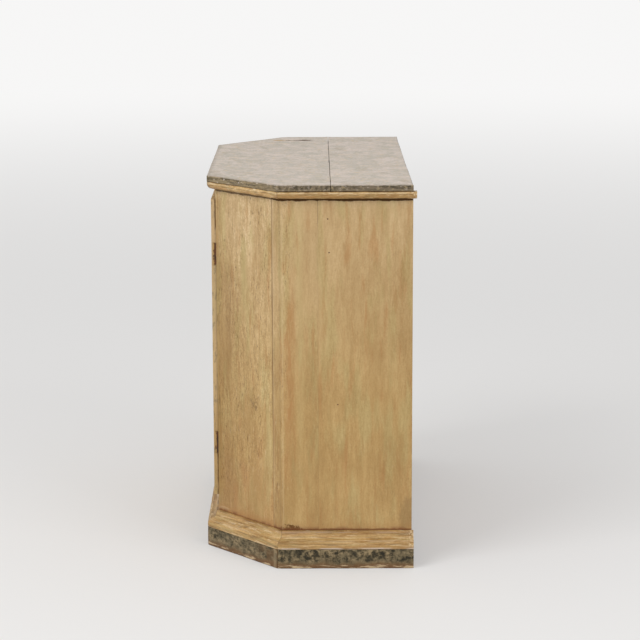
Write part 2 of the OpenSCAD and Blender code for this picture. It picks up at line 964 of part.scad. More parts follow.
module at_door_end(top) {
    translate([-knob_x, rod_y, top ? door_high : door_low])
        if (top) children();
        else mirror([0, 0, 1]) children();
}

module shoot_bolt(top) {
    color(iron) place() at_door_end(top) {
        translate([0, 0, -rod_in - rod_l]) cylinder(h = rod_l, r = rod_r);
        translate([0, 0, -plate_inset - plate_l / 2])
            rotate([-90, 0, 0]) cylinder(h = rod_r + grip_l, r = grip_r);
    }
}

module shoot_bolt_plates() {
    low = -plate_inset - plate_l;
    staple_y = door_back + plate_t - rod_y;
    color(iron) place()
        for (top = [true, false])
            at_door_end(top) difference() {
                union() {
                    translate([-plate_w / 2, door_back - rod_y, low]) cube([plate_w, plate_t, plate_l]);
                    for (z = [-plate_inset - staple_in - staple_l, low + staple_in])
                        box([-rod_r - staple_side, staple_y, z],
                            [rod_r + staple_side, rod_r + staple_back, z + staple_l]);
                }
                translate([0, 0, low - past])
                    cylinder(h = plate_l + 2 * past, r = rod_r + rod_play);
            }
}

top_front_board();
top_back_board();
top_battens();
cornice_front();
cornice_cant(1);  // cornice_cant_right
cornice_cant(-1);  // cornice_cant_left
cornice_side(1);  // cornice_side_right
cornice_side(-1);  // cornice_side_left
side_front_board(1);  // side_front_board_right
side_front_board(-1);  // side_front_board_left
side_back_board(1);  // side_back_board_right
side_back_board(-1);  // side_back_board_left
cant_board(1);  // cant_board_right
cant_board(-1);  // cant_board_left
top_rail();
bottom_rail();
back_rail();
back_planks();
bottom_board();
bottom_bearers();
shelf();
shelf_cleats();
glue_blocks();
door_stops();
plinth_front();
plinth_cant(1);  // plinth_cant_right
plinth_cant(-1);  // plinth_cant_left
plinth_side(1);  // plinth_side_right
plinth_side(-1);  // plinth_side_left
base_moulding_front();
base_moulding_cant(1);  // base_moulding_cant_right
base_moulding_cant(-1);  // base_moulding_cant_left
base_moulding_side(1);  // base_moulding_side_right
base_moulding_side(-1);  // base_moulding_side_left
door_hinge_stile(1);  // door_right_hinge_stile
door_right_meeting_stile();
door_top_rail(1);  // door_right_top_rail
door_bottom_rail(1);  // door_right_bottom_rail
door_panel(1);  // door_right_panel
door_moulding(1);  // door_right_moulding
door_hinge_stile(-1);  // door_left_hinge_stile
door_left_meeting_stile();
door_top_rail(-1);  // door_left_top_rail
door_bottom_rail(-1);  // door_left_bottom_rail
door_panel(-1);  // door_left_panel
door_moulding(-1);  // door_left_moulding
knob(1);  // knob_right
knob(-1);  // knob_left
hinge_case_leaves(1);  // hinge_case_leaves_right
hinge_case_leaves(-1);  // hinge_case_leaves_left
hinge_door_leaves(1);  // hinge_door_leaves_right
hinge_door_leaves(-1);  // hinge_door_leaves_left
hinge_pins(1);  // hinge_pins_right
hinge_pins(-1);  // hinge_pins_left
lock_case();
lock_bolt();
lock_strike();
shoot_bolt(true);  // shoot_bolt_top
shoot_bolt(false);  // shoot_bolt_bottom
shoot_bolt_plates();
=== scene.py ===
"""Dresses the demi-console cabinet: worn painted boards, mouldings, ironwork and the stage round it."""

from math import atan2, cos, pi, radians, sin

import bmesh
import bpy
from bpy.props import FloatProperty, FloatVectorProperty, IntProperty, PointerProperty
from mathutils import Matrix, Vector, noise


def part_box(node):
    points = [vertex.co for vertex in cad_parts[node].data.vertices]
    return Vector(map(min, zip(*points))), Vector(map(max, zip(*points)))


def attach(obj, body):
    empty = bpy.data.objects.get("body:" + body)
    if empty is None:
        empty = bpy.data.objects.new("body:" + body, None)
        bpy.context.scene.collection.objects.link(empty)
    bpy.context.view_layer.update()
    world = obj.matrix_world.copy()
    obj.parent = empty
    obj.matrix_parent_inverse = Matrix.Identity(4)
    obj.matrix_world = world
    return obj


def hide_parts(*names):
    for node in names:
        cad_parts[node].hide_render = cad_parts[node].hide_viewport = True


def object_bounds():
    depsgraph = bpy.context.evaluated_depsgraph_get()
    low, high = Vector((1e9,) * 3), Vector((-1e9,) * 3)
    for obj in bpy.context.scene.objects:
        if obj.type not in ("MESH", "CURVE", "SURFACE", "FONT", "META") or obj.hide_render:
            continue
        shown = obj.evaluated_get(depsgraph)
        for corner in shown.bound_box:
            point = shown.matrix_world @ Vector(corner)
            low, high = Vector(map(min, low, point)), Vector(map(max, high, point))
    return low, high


bl_info = {
    "name": "Demi-console cabinet",
    "version": (1, 0, 0),
    "blender": (4, 5, 0),
    "location": "View3D > Sidebar > Cabinet",
    "description": "Dresses a canted two-door cabinet with worn paint, mouldings and ironwork",
    "category": "Object",
}

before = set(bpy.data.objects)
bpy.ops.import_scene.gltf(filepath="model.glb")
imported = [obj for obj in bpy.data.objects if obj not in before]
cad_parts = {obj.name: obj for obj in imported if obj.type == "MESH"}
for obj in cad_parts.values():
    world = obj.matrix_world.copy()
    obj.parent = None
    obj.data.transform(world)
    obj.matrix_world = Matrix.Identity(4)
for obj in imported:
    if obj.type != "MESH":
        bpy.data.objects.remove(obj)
cad_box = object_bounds()

# The plan of the case, in metres. Its heading is 0 along the front and a quarter turn along a side.
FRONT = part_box("top_rail")[0].y
HALF_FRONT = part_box("top_rail")[1].x
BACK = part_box("back_planks")[1].y
HALF_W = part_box("side_back_board_right")[1].x
SIDE_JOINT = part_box("side_back_board_right")[0].y
SEAM_X, SEAM_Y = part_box("side_front_board_right")[0].xy
CANT = atan2(SEAM_Y - FRONT, SEAM_X - HALF_FRONT)
ARRIS_Y = FRONT + (HALF_W - HALF_FRONT) * sin(CANT) / cos(CANT)

# Heights
TOP = cad_box[1].z
SLAB_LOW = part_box("top_front_board")[0].z
CORNICE_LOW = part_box("cornice_front")[0].z
BASE_LOW, BASE_HIGH = [corner.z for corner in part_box("base_moulding_front")]

MM = 0.001
UP = 2
SIDES = {"right": 1, "left": -1}
SHARP, CREASE = radians(30), radians(32)
SHORTEST_WORN, CLOSEST_CUT = 60 * MM, 4 * MM
IMAGE_WIDTH = 640
RUNS = [("front", "")] + [(part, side) for part in ("cant", "side") for side in SIDES]

# The split in the top: its end nearer the front, its length, width and depth
SPLIT = (-0.4315, -0.100)
SPLIT_LONG, SPLIT_WIDE, SPLIT_DEEP = 112 * MM, 27 * MM, 6 * MM

# Colour of each paint and metal as a screen shows it, and what it is for
PAINTS = {
    "ochre_high": ((190, 159, 112), "Case paint near the cornice"),
    "ochre_low": ((179, 144, 88), "Case paint near the base moulding"),
    "ochre_green": ((177, 155, 101), "Cooler patches in the case paint"),
    "ochre_warm": ((172, 124, 70), "Orange-brown streaks in the case paint"),
    # The next colour also paints shadow lines: in the gap by a door's hinge edge and in the base moulding
    "fleck": ((110, 80, 44), "Dark grain that shows through the paint"),
    # The next colour also paints shadows under the cornice and the top, at the boards' foot and along the floor
    "glaze": ((72, 45, 19), "Dark wax in corners and crevices"),
    # The next colour also paints highlights on the side's arris and the cornice, and light in the base moulding
    "cream": ((216, 190, 148), "Paint rubbed pale on high edges"),
    "trim": ((182, 143, 86), "Paint of the cornice and the base moulding"),
    "trim_pink": ((166, 136, 114), "Pinkish wear along the mouldings"),
    "top_grey": ((190, 180, 166), "Warm grey paint of the top"),
    "top_pink": ((210, 194, 181), "Pinker clouds in the top's paint"),
    "top_green": ((178, 172, 154), "Greener strokes in the top's paint"),
    "slab_edge": ((118, 104, 84), "Marbled edge of the top"),
    "slab_dark": ((68, 62, 50), "Dark clouds in the edge of the top"),
    "slab_ochre": ((156, 136, 100), "Ochre that shows in the edge of the top"),
    "plinth_dark": ((47, 46, 40), "Dark dabs in the plinth's marbling"),
    "plinth_olive": ((120, 106, 78), "Olive ground of the plinth's marbling"),
    "plinth_ochre": ((148, 128, 92), "Ochre clouds in the plinth's marbling"),
    "plinth_brown": ((112, 84, 54), "Worn wood along the floor"),
    "wood": ((150, 114, 74), "Old softwood inside and at the back"),
    "wood_dark": ((98, 68, 42), "Late rings and dirt in the bare wood"),
    "iron": ((78, 64, 52), "Dark iron of hinges, lock and bolts"),
    "rust": ((124, 78, 48), "Rust on the iron"),
    "brass": ((164, 130, 72), "Dull brass of the knobs"),
    "brass_dark": ((84, 62, 34), "Brown in the brass"),
}


def linear(value):
    """A linear level from the 0 to 255 level of a screen"""
    part = value / 255
    return part / 12.92 if part <= 0.04045 else ((part + 0.055) / 1.055) ** 2.4


def colour(name, rgb, about):
    return FloatVectorProperty(name=name.replace("_", " ").capitalize(), description=about,
                               default=[linear(value) for value in rgb], subtype="COLOR", min=0, max=1)


def length(label, about, value):
    return FloatProperty(name=label, description=about, default=value, min=0, subtype="DISTANCE", unit="LENGTH")


def angle(label, about, value):
    return FloatProperty(name=label, description=about, default=value, subtype="ANGLE", unit="ROTATION")


class CabinetPaint(bpy.types.PropertyGroup):
    """Colours of the paint, the bare wood and the metal"""
    __annotations__ = {name: colour(name, *words) for name, words in PAINTS.items()}


class CabinetWear(bpy.types.PropertyGroup):
    """Sizes of the wear and the small fastenings"""
    edge: length("Edge wear", "Greatest width that is worn off an exposed edge", 2.2 * MM)
    seam: length("Seam wear", "Greatest width that is worn off beside a joint", 0.30 * MM)
    station: length("Station", "Distance between the places where the wear changes", 14 * MM)
    dent: length("Dents", "Greatest depth of the dents in the mouldings", 0.9 * MM)
    corner: length("Corners", "Radius of the top's worn corners", 8 * MM)
    left_corner: length("Left corner", "Radius of the top's corner at the left cant, which is worn most", 42 * MM)
    nail: length("Nail head", "Radius of a nail head", 2.4 * MM)
    screw: length("Screw head", "Radius of a screw head", 2.1 * MM)
    seed: IntProperty(name="Seed", description="Picks another pattern of wear", default=3, min=0)


class CabinetMouldings(bpy.types.PropertyGroup):
    """Sections of the cornice and the base moulding"""
    cornice_round: length("Cornice round", "Radius of the cornice's lower part", 13 * MM)
    band: length("Band", "Height of the flat band at the foot of the base moulding", 9 * MM)
    ovolo: length("Ovolo", "Radius of the quarter round over the band", 8.5 * MM)
    bead: length("Bead", "Radius of the bead over the quarter round", 2 * MM)
    hollow: length("Hollow", "Radius of the hollow", 12.5 * MM)


class CabinetStage(bpy.types.PropertyGroup):
    """Camera and lights"""
    place: FloatVectorProperty(name="Camera", description="Place of the camera", unit="LENGTH",
                               subtype="TRANSLATION", default=(5.4721, 0.0165, 1.5659))
    pixels: FloatProperty(name="Focal length", description="Focal length in pixels of a 640 pixel wide image",
                          default=2160.6, min=1)
    yaw: angle("Yaw", "Turn of the camera towards the back", 0.002)
    pitch: angle("Pitch", "Downward tilt of the camera", 0.192)
    roll: angle("Roll", "Roll of the camera", -0.003)
    sky: FloatProperty(name="Sky", description="Strength of the even light from all round", default=0.66, min=0)
    key: FloatProperty(name="Key", description="Power of the large lamp above", default=120, min=0)


# Materials


def reckoned(operation, turned=False):
    """A method that makes a math node of an output and another value"""
    def method(self, other=0.0):
        first, second = (other, self) if turned else (self, other)
        return self.wiring.joined("ShaderNodeMath", {"operation": operation}, {0: first, 1: second})
    return method


class Level:
    """A node's output, which can be reckoned with like a number. | is the greater of two, & the lesser."""

    def __init__(self, wiring, socket):
        self.wiring, self.socket = wiring, socket

    __add__ = __radd__ = reckoned("ADD")
    __sub__, __rsub__ = reckoned("SUBTRACT"), reckoned("SUBTRACT", True)
    __mul__ = __rmul__ = reckoned("MULTIPLY")
    __truediv__, __pow__, __abs__ = reckoned("DIVIDE"), reckoned("POWER"), reckoned("ABSOLUTE")
    __or__, __and__ = reckoned("MAXIMUM"), reckoned("MINIMUM")
    __lt__, __gt__ = reckoned("LESS_THAN"), reckoned("GREATER_THAN")

    def step(self, low, high, out_low=0.0, out_high=1.0):
        """Rises smoothly from out_low to out_high as the value goes from low to high"""
        if low > high:
            low, high, out_low, out_high = high, low, out_high, out_low
        return self.wiring.get("ShaderNodeMapRange", {"interpolation_type": "SMOOTHSTEP"}, Value=self,
                               From_Min=low, From_Max=high, To_Min=out_low, To_Max=out_high)

    def span(self, low, from_low, to_high, high):
        """1 from from_low to to_high, fading to 0 at low and high"""
        return self.step(low, from_low) * self.step(high, to_high)

    def near(self, middle, reach):
        """1 at the middle, 0 at reach from it"""
        return abs(self - middle).step(reach, 0)


class Wiring:
    """Adds nodes to a node tree"""

    def __init__(self, tree):
        self.tree = tree

    def add(self, kind, settings=None, **inputs):
        node = self.tree.nodes.new(kind)
        for key, value in (settings or {}).items():
            setattr(node, key, value)
        for key, value in inputs.items():
            self.feed(node.inputs[key.rstrip("_").replace("_", " ")], value)
        return node

    def get(self, kind, settings=None, output=0, **inputs):
        return Level(self, self.add(kind, settings, **inputs).outputs[output])

    def feed(self, socket, value):
        if isinstance(value, Level):
            self.tree.links.new(value.socket, socket)
        elif socket.type == "RGBA" and len(value) == 3:
            socket.default_value = (*value, 1)
        else:
            socket.default_value = value

    def joined(self, kind, settings, inputs, output=0):
        """The output of a node whose inputs are given by number, where several share a name"""
        node = self.add(kind, settings)
        for key, value in inputs.items():
            self.feed(node.inputs[key], value)
        return Level(self, node.outputs[output])


class Finish(Wiring):
    """A node material in the making. Coat is its colour so far, and its methods change it or return an output."""

    def __init__(self, name, roughness, grain=UP, seed=0, metallic=0.0):
        self.material = bpy.data.materials.new("%s_%d" % (name, len(made)))
        self.material.use_nodes = True
        super().__init__(self.material.node_tree)
        self.shader = self.tree.nodes["Principled BSDF"]
        self.shader.inputs["Roughness"].default_value = roughness
        self.shader.inputs["Metallic"].default_value = metallic
        self.paint = bpy.context.scene.cabinet_paint
        self.grain, self.seed = grain, seed
        self.place = self.get("ShaderNodeTexCoord", output="Object")
        apart = self.add("ShaderNodeSeparateXYZ", Vector=self.place)
        self.x, self.y, self.z = [Level(self, socket) for socket in apart.outputs]
        self.wide = abs(self.x)

    def patch(self, across, up, middle, reach, ragged=0.6):
        """1 in the middle of a ragged oval, 0 outside it"""
        a, b = (across - middle[0]) / reach[0], (up - middle[1]) / reach[1]
        lumps = self.cloud(min(reach) * 0.7, 19, 3) - 0.5
        return (a * a + b * b + lumps * (3 * ragged)).step(1, 0.3)

    def from_line(self, point, heading):
        """How far a place lies, in plan, from the line that leaves a point at a heading"""
        return (self.wide - point[0]) * cos(heading) + (self.y - point[1]) * sin(heading)

    def from_mitre(self, part):
        """How far a place lies, in plan, from the bisector of the front or side arris"""
        if part == "front":
            return self.from_line((HALF_FRONT, FRONT), CANT / 2)
        return self.from_line((HALF_W, ARRIS_Y), (CANT + pi / 2) / 2)

    def mitres(self):
        """1 at the mitres of the mouldings"""
        return self.from_mitre("side").near(0, 1.3 * MM) | self.from_mitre("front").near(0, 1.3 * MM)

    def rim(self, reach):
        """How far a place lies, in plan, inside the outline of the top, which reaches to the given width"""
        over = reach - HALF_W
        cant = self.from_line((HALF_W, ARRIS_Y), CANT + pi / 2) + over
        return (reach - self.wide) & (self.y - (FRONT - over)) & cant

    def cloud(self, size, shift, detail=4, rough=0.6, warp=0.0):
        """Noise whose lumps are about size across, a length or one for each axis"""
        sizes = (size,) * 3 if isinstance(size, float) else size
        start = 7.3 * (self.seed + shift)
        mapped = self.get("ShaderNodeMapping", Vector=self.place, Scale=[1 / s for s in sizes],
                          Location=(start, 1.7 * start, 0.6 * start))
        return self.get("ShaderNodeTexNoise", Vector=mapped, Scale=1.0, Detail=detail, Roughness=rough,
                        Distortion=warp)

    def streak(self, across, along, *words):
        """A cloud drawn out along the grain"""
        sizes = [across] * 3
        sizes[self.grain] = along
        return self.cloud(sizes, *words)

    def stray(self, value, swing, *words):
        """A value that strays by up to about half of swing, after a cloud"""
        return value + (self.cloud(*words) - 0.5) * swing

    def mix(self, factor, first, second, mode="MIX"):
        return self.joined("ShaderNodeMix", {"data_type": "RGBA", "blend_type": mode},
                           {0: factor, 6: first, 7: second}, 2)

    def lay(self, name, level):
        """Lays a colour over the coat, as thick as the level says"""
        self.coat = self.mix(level, self.coat, getattr(self.paint, name))

    def shade(self, value):
        """Multiplies the coat by a value, its green and blue by more, as thicker dark wax does"""
        glaze = self.get("ShaderNodeCombineColor", Red=value, Green=value ** 1.3, Blue=value ** 1.9)
        self.coat = self.mix(1.0, self.coat, glaze, "MULTIPLY")

    def lift(self, level, amount):
        """Lightens the coat by an amount where the level is 1"""
        self.shade(level * amount + 1)

    def vary(self, pattern, amount, reach=0.2):
        """Darkens and lightens the coat by up to amount, after a pattern that strays from 0.5 by about reach"""
        self.lift(pattern.step(0.5 - reach, 0.5 + reach, -1, 1), amount)

    def done(self, height, depth=0.0003, roughness=None, dull=True):
        """Ends the material with its colour, bumps and roughness. Dull makes dark paint, dirt and painted
        shadow reflect less.
        """
        inputs = self.shader.inputs
        self.feed(inputs["Base Color"], self.coat)
        if dull:
            light = self.get("ShaderNodeRGBToBW", Color=self.coat)
            self.feed(inputs["Specular IOR Level"], light.step(0.02, 0.24, 0.02, 0.5))
        if roughness is not None:
            self.feed(inputs["Roughness"], roughness)
        self.feed(inputs["Normal"], self.get("ShaderNodeBump", Height=height, Distance=depth, Strength=1.0))
        return self.material


made = {}


def once(make):
    """Keeps a material, so that the same words give the same one"""
    def kept(*words):
        key = (make.__name__, *words)
        if key not in made:
            made[key] = make(*words)
        return made[key]
    return kept


@once
def case_paint(grain=UP, seed=0, weather=0.25, place="", rubbed=False):
    """Brushed and waxed ochre paint, with painted light towards the top and painted shadows under the cornice
    and along the base moulding. Weather says how much dark grain shows, place names an outer board that
    has marks of its own, and rubbed is for worn edges."""
    f = Finish("case_paint_rubbed" if rubbed else "case_paint_worn", 0.55, grain, seed)
    # Painted light: the paint grows lighter towards the top, where more of the light from above falls
    f.coat = f.mix(f.z.step(0.30, 0.88), f.paint.ochre_low, f.paint.ochre_high)
    if place == "side_front":
        weather = f.y.step(ARRIS_Y + 0.034, ARRIS_Y, weather, 0.75)
    cool = f.streak(0.030, 0.15, 1, 3, 0.5)
    f.lay("ochre_green", cool.step(0.47, 0.66, 0, 0.55))
    f.lay("ochre_warm", f.streak(0.016, 0.11, 2, 3, 0.5).step(0.52, 0.72, 0, 0.5))
    f.vary(f.streak(0.012, 0.07, 3, 3, 0.5), 0.05)
    f.vary(f.streak(0.011, 0.50, 24, 3), weather * 0.055, 0.16)
    f.vary(f.streak(0.045, 0.16, 13, 2, 0.5), weather * 0.04 + 0.05)
    region = f.streak(0.05, 0.14, 6, 3, 0.5).step(0.36, 0.58)
    if place == "cant":
        region = region | f.patch(f.wide, f.z, (0.445, 0.81), (0.026, 0.075))
    patchy = (region * 0.65 + 0.35) * weather
    dapple = f.streak(0.0046, 0.022, 4)
    f.vary(dapple, patchy * 0.12 + 0.025)
    f.vary(f.cloud(0.0046, 14, 2), patchy * 0.08 + 0.02)
    fine = f.streak(0.0017, 0.010, 5, 3)
    f.vary(fine, 0.05, 0.25)
    flecks = f.streak(0.0032, 0.016, 7, 5, 0.68).step(0.57, 0.67) * region * weather
    f.lay("fleck", flecks)
    f.lay("cream", f.streak(0.0045, 0.022, 8).step(0.60, 0.72) * weather * 0.5)
    if place:
        board_marks(f, place, dapple)
    rise = f.stray(f.z, 0.010, 0.030, 9)
    warmth, foot, head = (0.6, 0.5, 0.8) if place == "cant" else (0.28, 0.8, 1)
    f.lay("ochre_warm", rise.step(BASE_HIGH + 26 * MM, BASE_HIGH + 4 * MM, 0, warmth))
    fringe = f.cloud(0.030, 26).step(0.45, 0.6) * rise.step(BASE_HIGH + 12 * MM, BASE_HIGH + 4 * MM)
    f.lay("rust", fringe * 0.5)
    f.lay("rust", rise.step(BASE_HIGH + 6 * MM, BASE_HIGH + 1.5 * MM, 0, foot))
    # Dark line where the board meets the base moulding: dark wax and a painted shadow
    f.lay("glaze", f.z.step(BASE_HIGH + 2.5 * MM, BASE_HIGH + 0.5 * MM, 0, 0.5 * foot))
    # Painted light just under the cornice, to lift the shade it casts, then the painted shadow right under it
    f.shade(f.z.step(CORNICE_LOW - 30 * MM, CORNICE_LOW - 8 * MM, 1, 1 + 0.07 * head))
    f.lay("glaze", rise.step(CORNICE_LOW - 6.6 * MM, CORNICE_LOW - 4.8 * MM, 0, 0.95 * head))
    if rubbed:
        f.lay("cream", f.streak(0.03, 0.07, 11).step(0.50, 0.66, 0, 0.40))
        f.lay("fleck", f.streak(0.02, 0.035, 12).step(0.56, 0.66, 0, 0.45))
    if place in ("cant", "side_front", "side_back"):
        outside = f.coat
        wood_grain(f)
        f.coat = f.mix(f.rim(HALF_W).step(8 * MM, 9 * MM), outside, f.coat)
    return f.done(dapple + fine * 0.5 - flecks, 0.00025, cool.step(0.3, 0.7, 0.46, 0.62))


def painted(*words):
    """Case paint, and the paint of its worn edges"""
    return [case_paint(*words), case_paint(*words, True)]


def board_marks(f, place, dapple):
    """Adds the seams, washes, knots and lighter and darker bands of an outer board of the case, or the
    dirt on a door's hinge edge and the painted shadow in the gap beside it
    """
    broken = f.streak(0.05, 0.07, 20, 3, 0.5).step(0.34, 0.56, 0.45, 1)
    ragged = f.streak(0.008, 0.05, 22).step(0.40, 0.62)
    if place in ("cant", "side_front"):
        f.lay("fleck", f.wide.near(SEAM_X, 2.8 * MM) * broken * f.z.step(0.30, 0.46, 0.45, 1) * 0.75)
        f.lay("cream", f.wide.near(SEAM_X + 3 * MM, 2.2 * MM) * f.z.step(0.35, 0.65, 0.12, 0.36))
    if place == "cant":
        # On the cant: darker towards the front arris below the top, with two lighter upright bands
        f.shade(1 - f.wide.step(0.405, 0.325) * f.z.step(0.80, 0.62) * 0.17)
        f.lift(f.wide.near(0.398, 0.045) * f.z.step(0.52, 0.66), 0.08)
        f.lift(f.wide.near(0.462, 0.035) * f.z.step(0.55, 0.40), 0.09)
        # Painted light: the cant is lighter towards the top
        f.shade(f.z.step(0.70, 0.84, 1.045, 1.025))
        f.lay("ochre_warm", f.z.step(0.36, 0.12, 0, 0.27))
        f.shade(f.z.step(0.12, 0.30, 0.98, 1))
        upper, lower, outer = [f.patch(f.wide, f.z, middle, reach, 0.8) for middle, reach in (
            ((0.338, 0.66), (0.026, 0.09)), ((0.345, 0.24), (0.030, 0.12)), ((0.415, 0.43), (0.030, 0.09)))]
        f.lay("fleck", f.streak(0.0030, 0.014, 25, 3, 0.65).step(0.55, 0.66) * (upper | lower | outer) * 0.6)
        green = f.wide.near(0.396, 0.012) * f.z.span(0.60, 0.68, 0.74, 0.80)
        f.lay("ochre_green", green * 0.5)
        f.lift(green, 0.05)
        f.lay("fleck", f.wide.near(HALF_FRONT + 6 * MM, 5 * MM) * ragged * f.z.span(0.30, 0.38, 0.54, 0.64) * 0.7)
        f.lay("ochre_green", f.wide.near(HALF_FRONT + 3 * MM, 2.5 * MM) * 0.35)
        knot = f.patch(f.wide, f.z, (0.421, 0.378), (0.010, 0.016), 2.0)
        f.lay("fleck", knot * dapple.step(0.45, 0.55) * 0.6)
        f.lay("cream", f.patch(f.wide, f.z, (0.331, BASE_HIGH + 9 * MM), (0.020, 0.0045), 0.8) * 0.6)
    if place == "side_front":
        f.lay("glaze", f.wide.near(HALF_W - 5 * MM, 4 * MM) * 0.15)
        drift = f.stray(f.y, 0.012, 0.12, 21, 3, 0.5)
        f.lay("ochre_warm", drift.near(-0.046, 0.020) * (ragged | 0.55) * f.z.span(0.24, 0.36, 0.60, 0.68) * 0.75)
        f.lay("ochre_green", drift.near(-0.020, 0.013) * f.z.step(0.2, 0.4) * 0.30)
        f.lift(drift.near(-0.020, 0.016), 0.07)
        # Pale line just behind the arris: rubbed paint and a painted highlight
        f.lay("cream", f.y.near(ARRIS_Y + 2 * MM, 3 * MM) * 0.22)
        knot = f.patch(f.y, f.z, (-0.046, BASE_HIGH + 5 * MM), (0.027, 0.012), 1.2)
        f.lay("glaze", knot * dapple.step(0.36, 0.50, 0.75, 1))
    if place == "side_back":
        f.shade(1 - f.patch(f.y, f.z, (0.165, 0.62), (0.13, 0.15), 0.3) * 0.08)
        f.lay("fleck", f.patch(f.y, f.z, (0.240, 0.12), (0.030, 0.060), 0.8) * 0.30)
    if place == "door":
        edge = f.wide.step(HALF_FRONT - 5 * MM, HALF_FRONT - 2 * MM)
        f.lay("cream", edge * f.z.step(0.30, 0.40, 0.12, 0.35))
        f.lay("plinth_olive", edge * f.streak(0.006, 0.022, 23).step(0.50, 0.62) * 0.55)
        ends = f.z.step(0.30, 0.22, 0.3, 1) | f.z.step(0.77, 0.80)
        # Painted shadow: a dark line in the gap beside the door's hinge edge, broken along its length
        f.lay("fleck", edge * f.y.step(FRONT - 4 * MM, FRONT - 1.5 * MM) * ends * broken * 0.95)
    if place.startswith("side"):
        f.lay("glaze", f.y.near(SIDE_JOINT, 1.3 * MM) * broken * f.z.step(0.812, 0.838, 0.12, 0.8))


# Where a moulding's paint is rubbed, dirty or painted with light and shade: its edge, millimetres above it,
# reach in millimetres, colour, strength
# Painted shadows: the dark lines under the top and at the cornice's foot. The pale line just under the top is
# rubbed paint and a painted highlight.
CORNICE_MARKS = ((SLAB_LOW, 0, 1.8, "glaze", 0.9), (SLAB_LOW, -3.6, 2.6, "cream", 0.95),
                 (SLAB_LOW, -7.5, 1.4, "fleck", 0.75), (CORNICE_LOW, 6, 4, "ochre_warm", 0.6),
                 (CORNICE_LOW, 0, 4, "glaze", 0.95))
# The dark line at the top edge is dark wax and a painted shadow against the board; the strong pale band 18.5 mm
# up is painted light over the quirk's shade, and the dark line 13.5 mm up a painted shadow.
BASE_MARKS = ((BASE_HIGH, -1, 2, "fleck", 0.5), (BASE_HIGH, -3.5, 4, "trim_pink", 0.65),
              (BASE_HIGH, -8.5, 1.8, "rust", 0.35), (BASE_LOW, 24, 2.5, "cream", 0.30),
              (BASE_LOW, 18.5, 3.4, "cream", 0.80), (BASE_LOW, 13.5, 2, "fleck", 0.45),
              (BASE_LOW, 9.5, 2, "cream", 0.35), (BASE_LOW, 6, 3, "ochre_warm", 0.4),
              (BASE_LOW, 2.2, 3.6, "top_pink", 0.75), (BASE_LOW, 0, 1.2, "rust", 0.25))
# Here too the dark top line is dark wax and a painted shadow, and the strong pale band 17.8 mm up painted light.
CANT_BASE_MARKS = ((BASE_HIGH, -1, 2, "fleck", 0.5), (BASE_HIGH, -3.5, 3, "trim_pink", 0.35),
                   (BASE_LOW, 22, 5, "cream", 0.35), (BASE_LOW, 17.8, 2.4, "cream", 0.80),
                   (BASE_LOW, 9, 4.5, "ochre_green", 0.6), (BASE_LOW, 5, 3, "fleck", 0.25),
                   (BASE_LOW, 1.8, 2.6, "cream", 0.85), (BASE_LOW, 0, 1.4, "fleck", 0.6))


@once
def trim_paint(marks=(), seed=0, contrast=1.0, lit_tone=1.0, drawn=1.0, framed=""):
    """Ochre paint of a moulding: cream on its ridges, brown in its crevices, and painted light and shade from
    its marks. Contrast is that of its streaks, tone lightens the run as painted light, and drawn says how
    far its streaks are drawn out. Framed names a moulding that runs round a panel."""
    f = Finish("trim_paint", 0.5, 0, seed)
    upright = 0.0
    if framed:
        low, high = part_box(framed)
        middle, half = (low + high) / 2, (high - low) / 2
        upright = (half.x - abs(f.x - middle.x)) < (half.z - abs(f.z - middle.z))

    def strokes(along, up, shift, detail=4):
        level = f.cloud((along * drawn, along * drawn, up), shift, detail)
        if not framed:
            return level
        return f.mix(upright, level, f.cloud((up, up, along * drawn), shift, detail))

    f.coat = f.mix(strokes(0.06, 0.012, 1, 3).step(0.4, 0.65), f.paint.trim, f.paint.ochre_low)
    drag = strokes(0.045, 0.0021, 2)
    f.vary(drag, 0.14 * contrast, 0.22)
    f.vary(strokes(0.05, 0.02, 15), 0.12 * contrast, 0.18)
    f.lay("cream", strokes(0.018, 0.0033, 3).step(0.54, 0.66, 0, 0.55 * contrast))
    f.lay("ochre_green", strokes(0.030, 0.004, 16).step(0.52, 0.64, 0, 0.4 * contrast))
    f.lay("ochre_warm", strokes(0.035, 0.0026, 17).step(0.54, 0.66, 0, 0.5))
    f.vary(f.cloud((0.006, 0.006, 0.0026), 18), 0.09 * contrast)
    dirt = strokes(0.026, 0.0034, 4)
    f.lay("fleck", dirt.step(0.50, 0.66, 0, 0.50 * contrast))
    # Painted light: the tone lightens the runs on the cants, which face the light
    f.shade(lit_tone)
    level = f.z + (strokes(0.03, 0.03, 5) - 0.5) * (3.2 * MM)
    for i, (edge, above, reach, name, strength) in enumerate(marks):
        broken = strokes(0.022, 0.006, 6 + i).step(0.30 + 0.10 * contrast, 0.58, 0.06, 1)
        f.lay(name, level.near(edge + above * MM, reach * MM) * broken * strength)
    f.lay("cream", f.y.step(BACK - 0.016, BACK - 0.002) * f.cloud(0.006, 14, 3, 0.5).step(0.48, 0.6) * 0.8)
    f.lay("slab_edge", f.from_mitre("front").near(0, 14 * MM) * f.z.step(0.5, 0.8) * 0.45)
    f.lay("glaze", f.mitres() * 0.42)
    return f.done(drag - dirt)


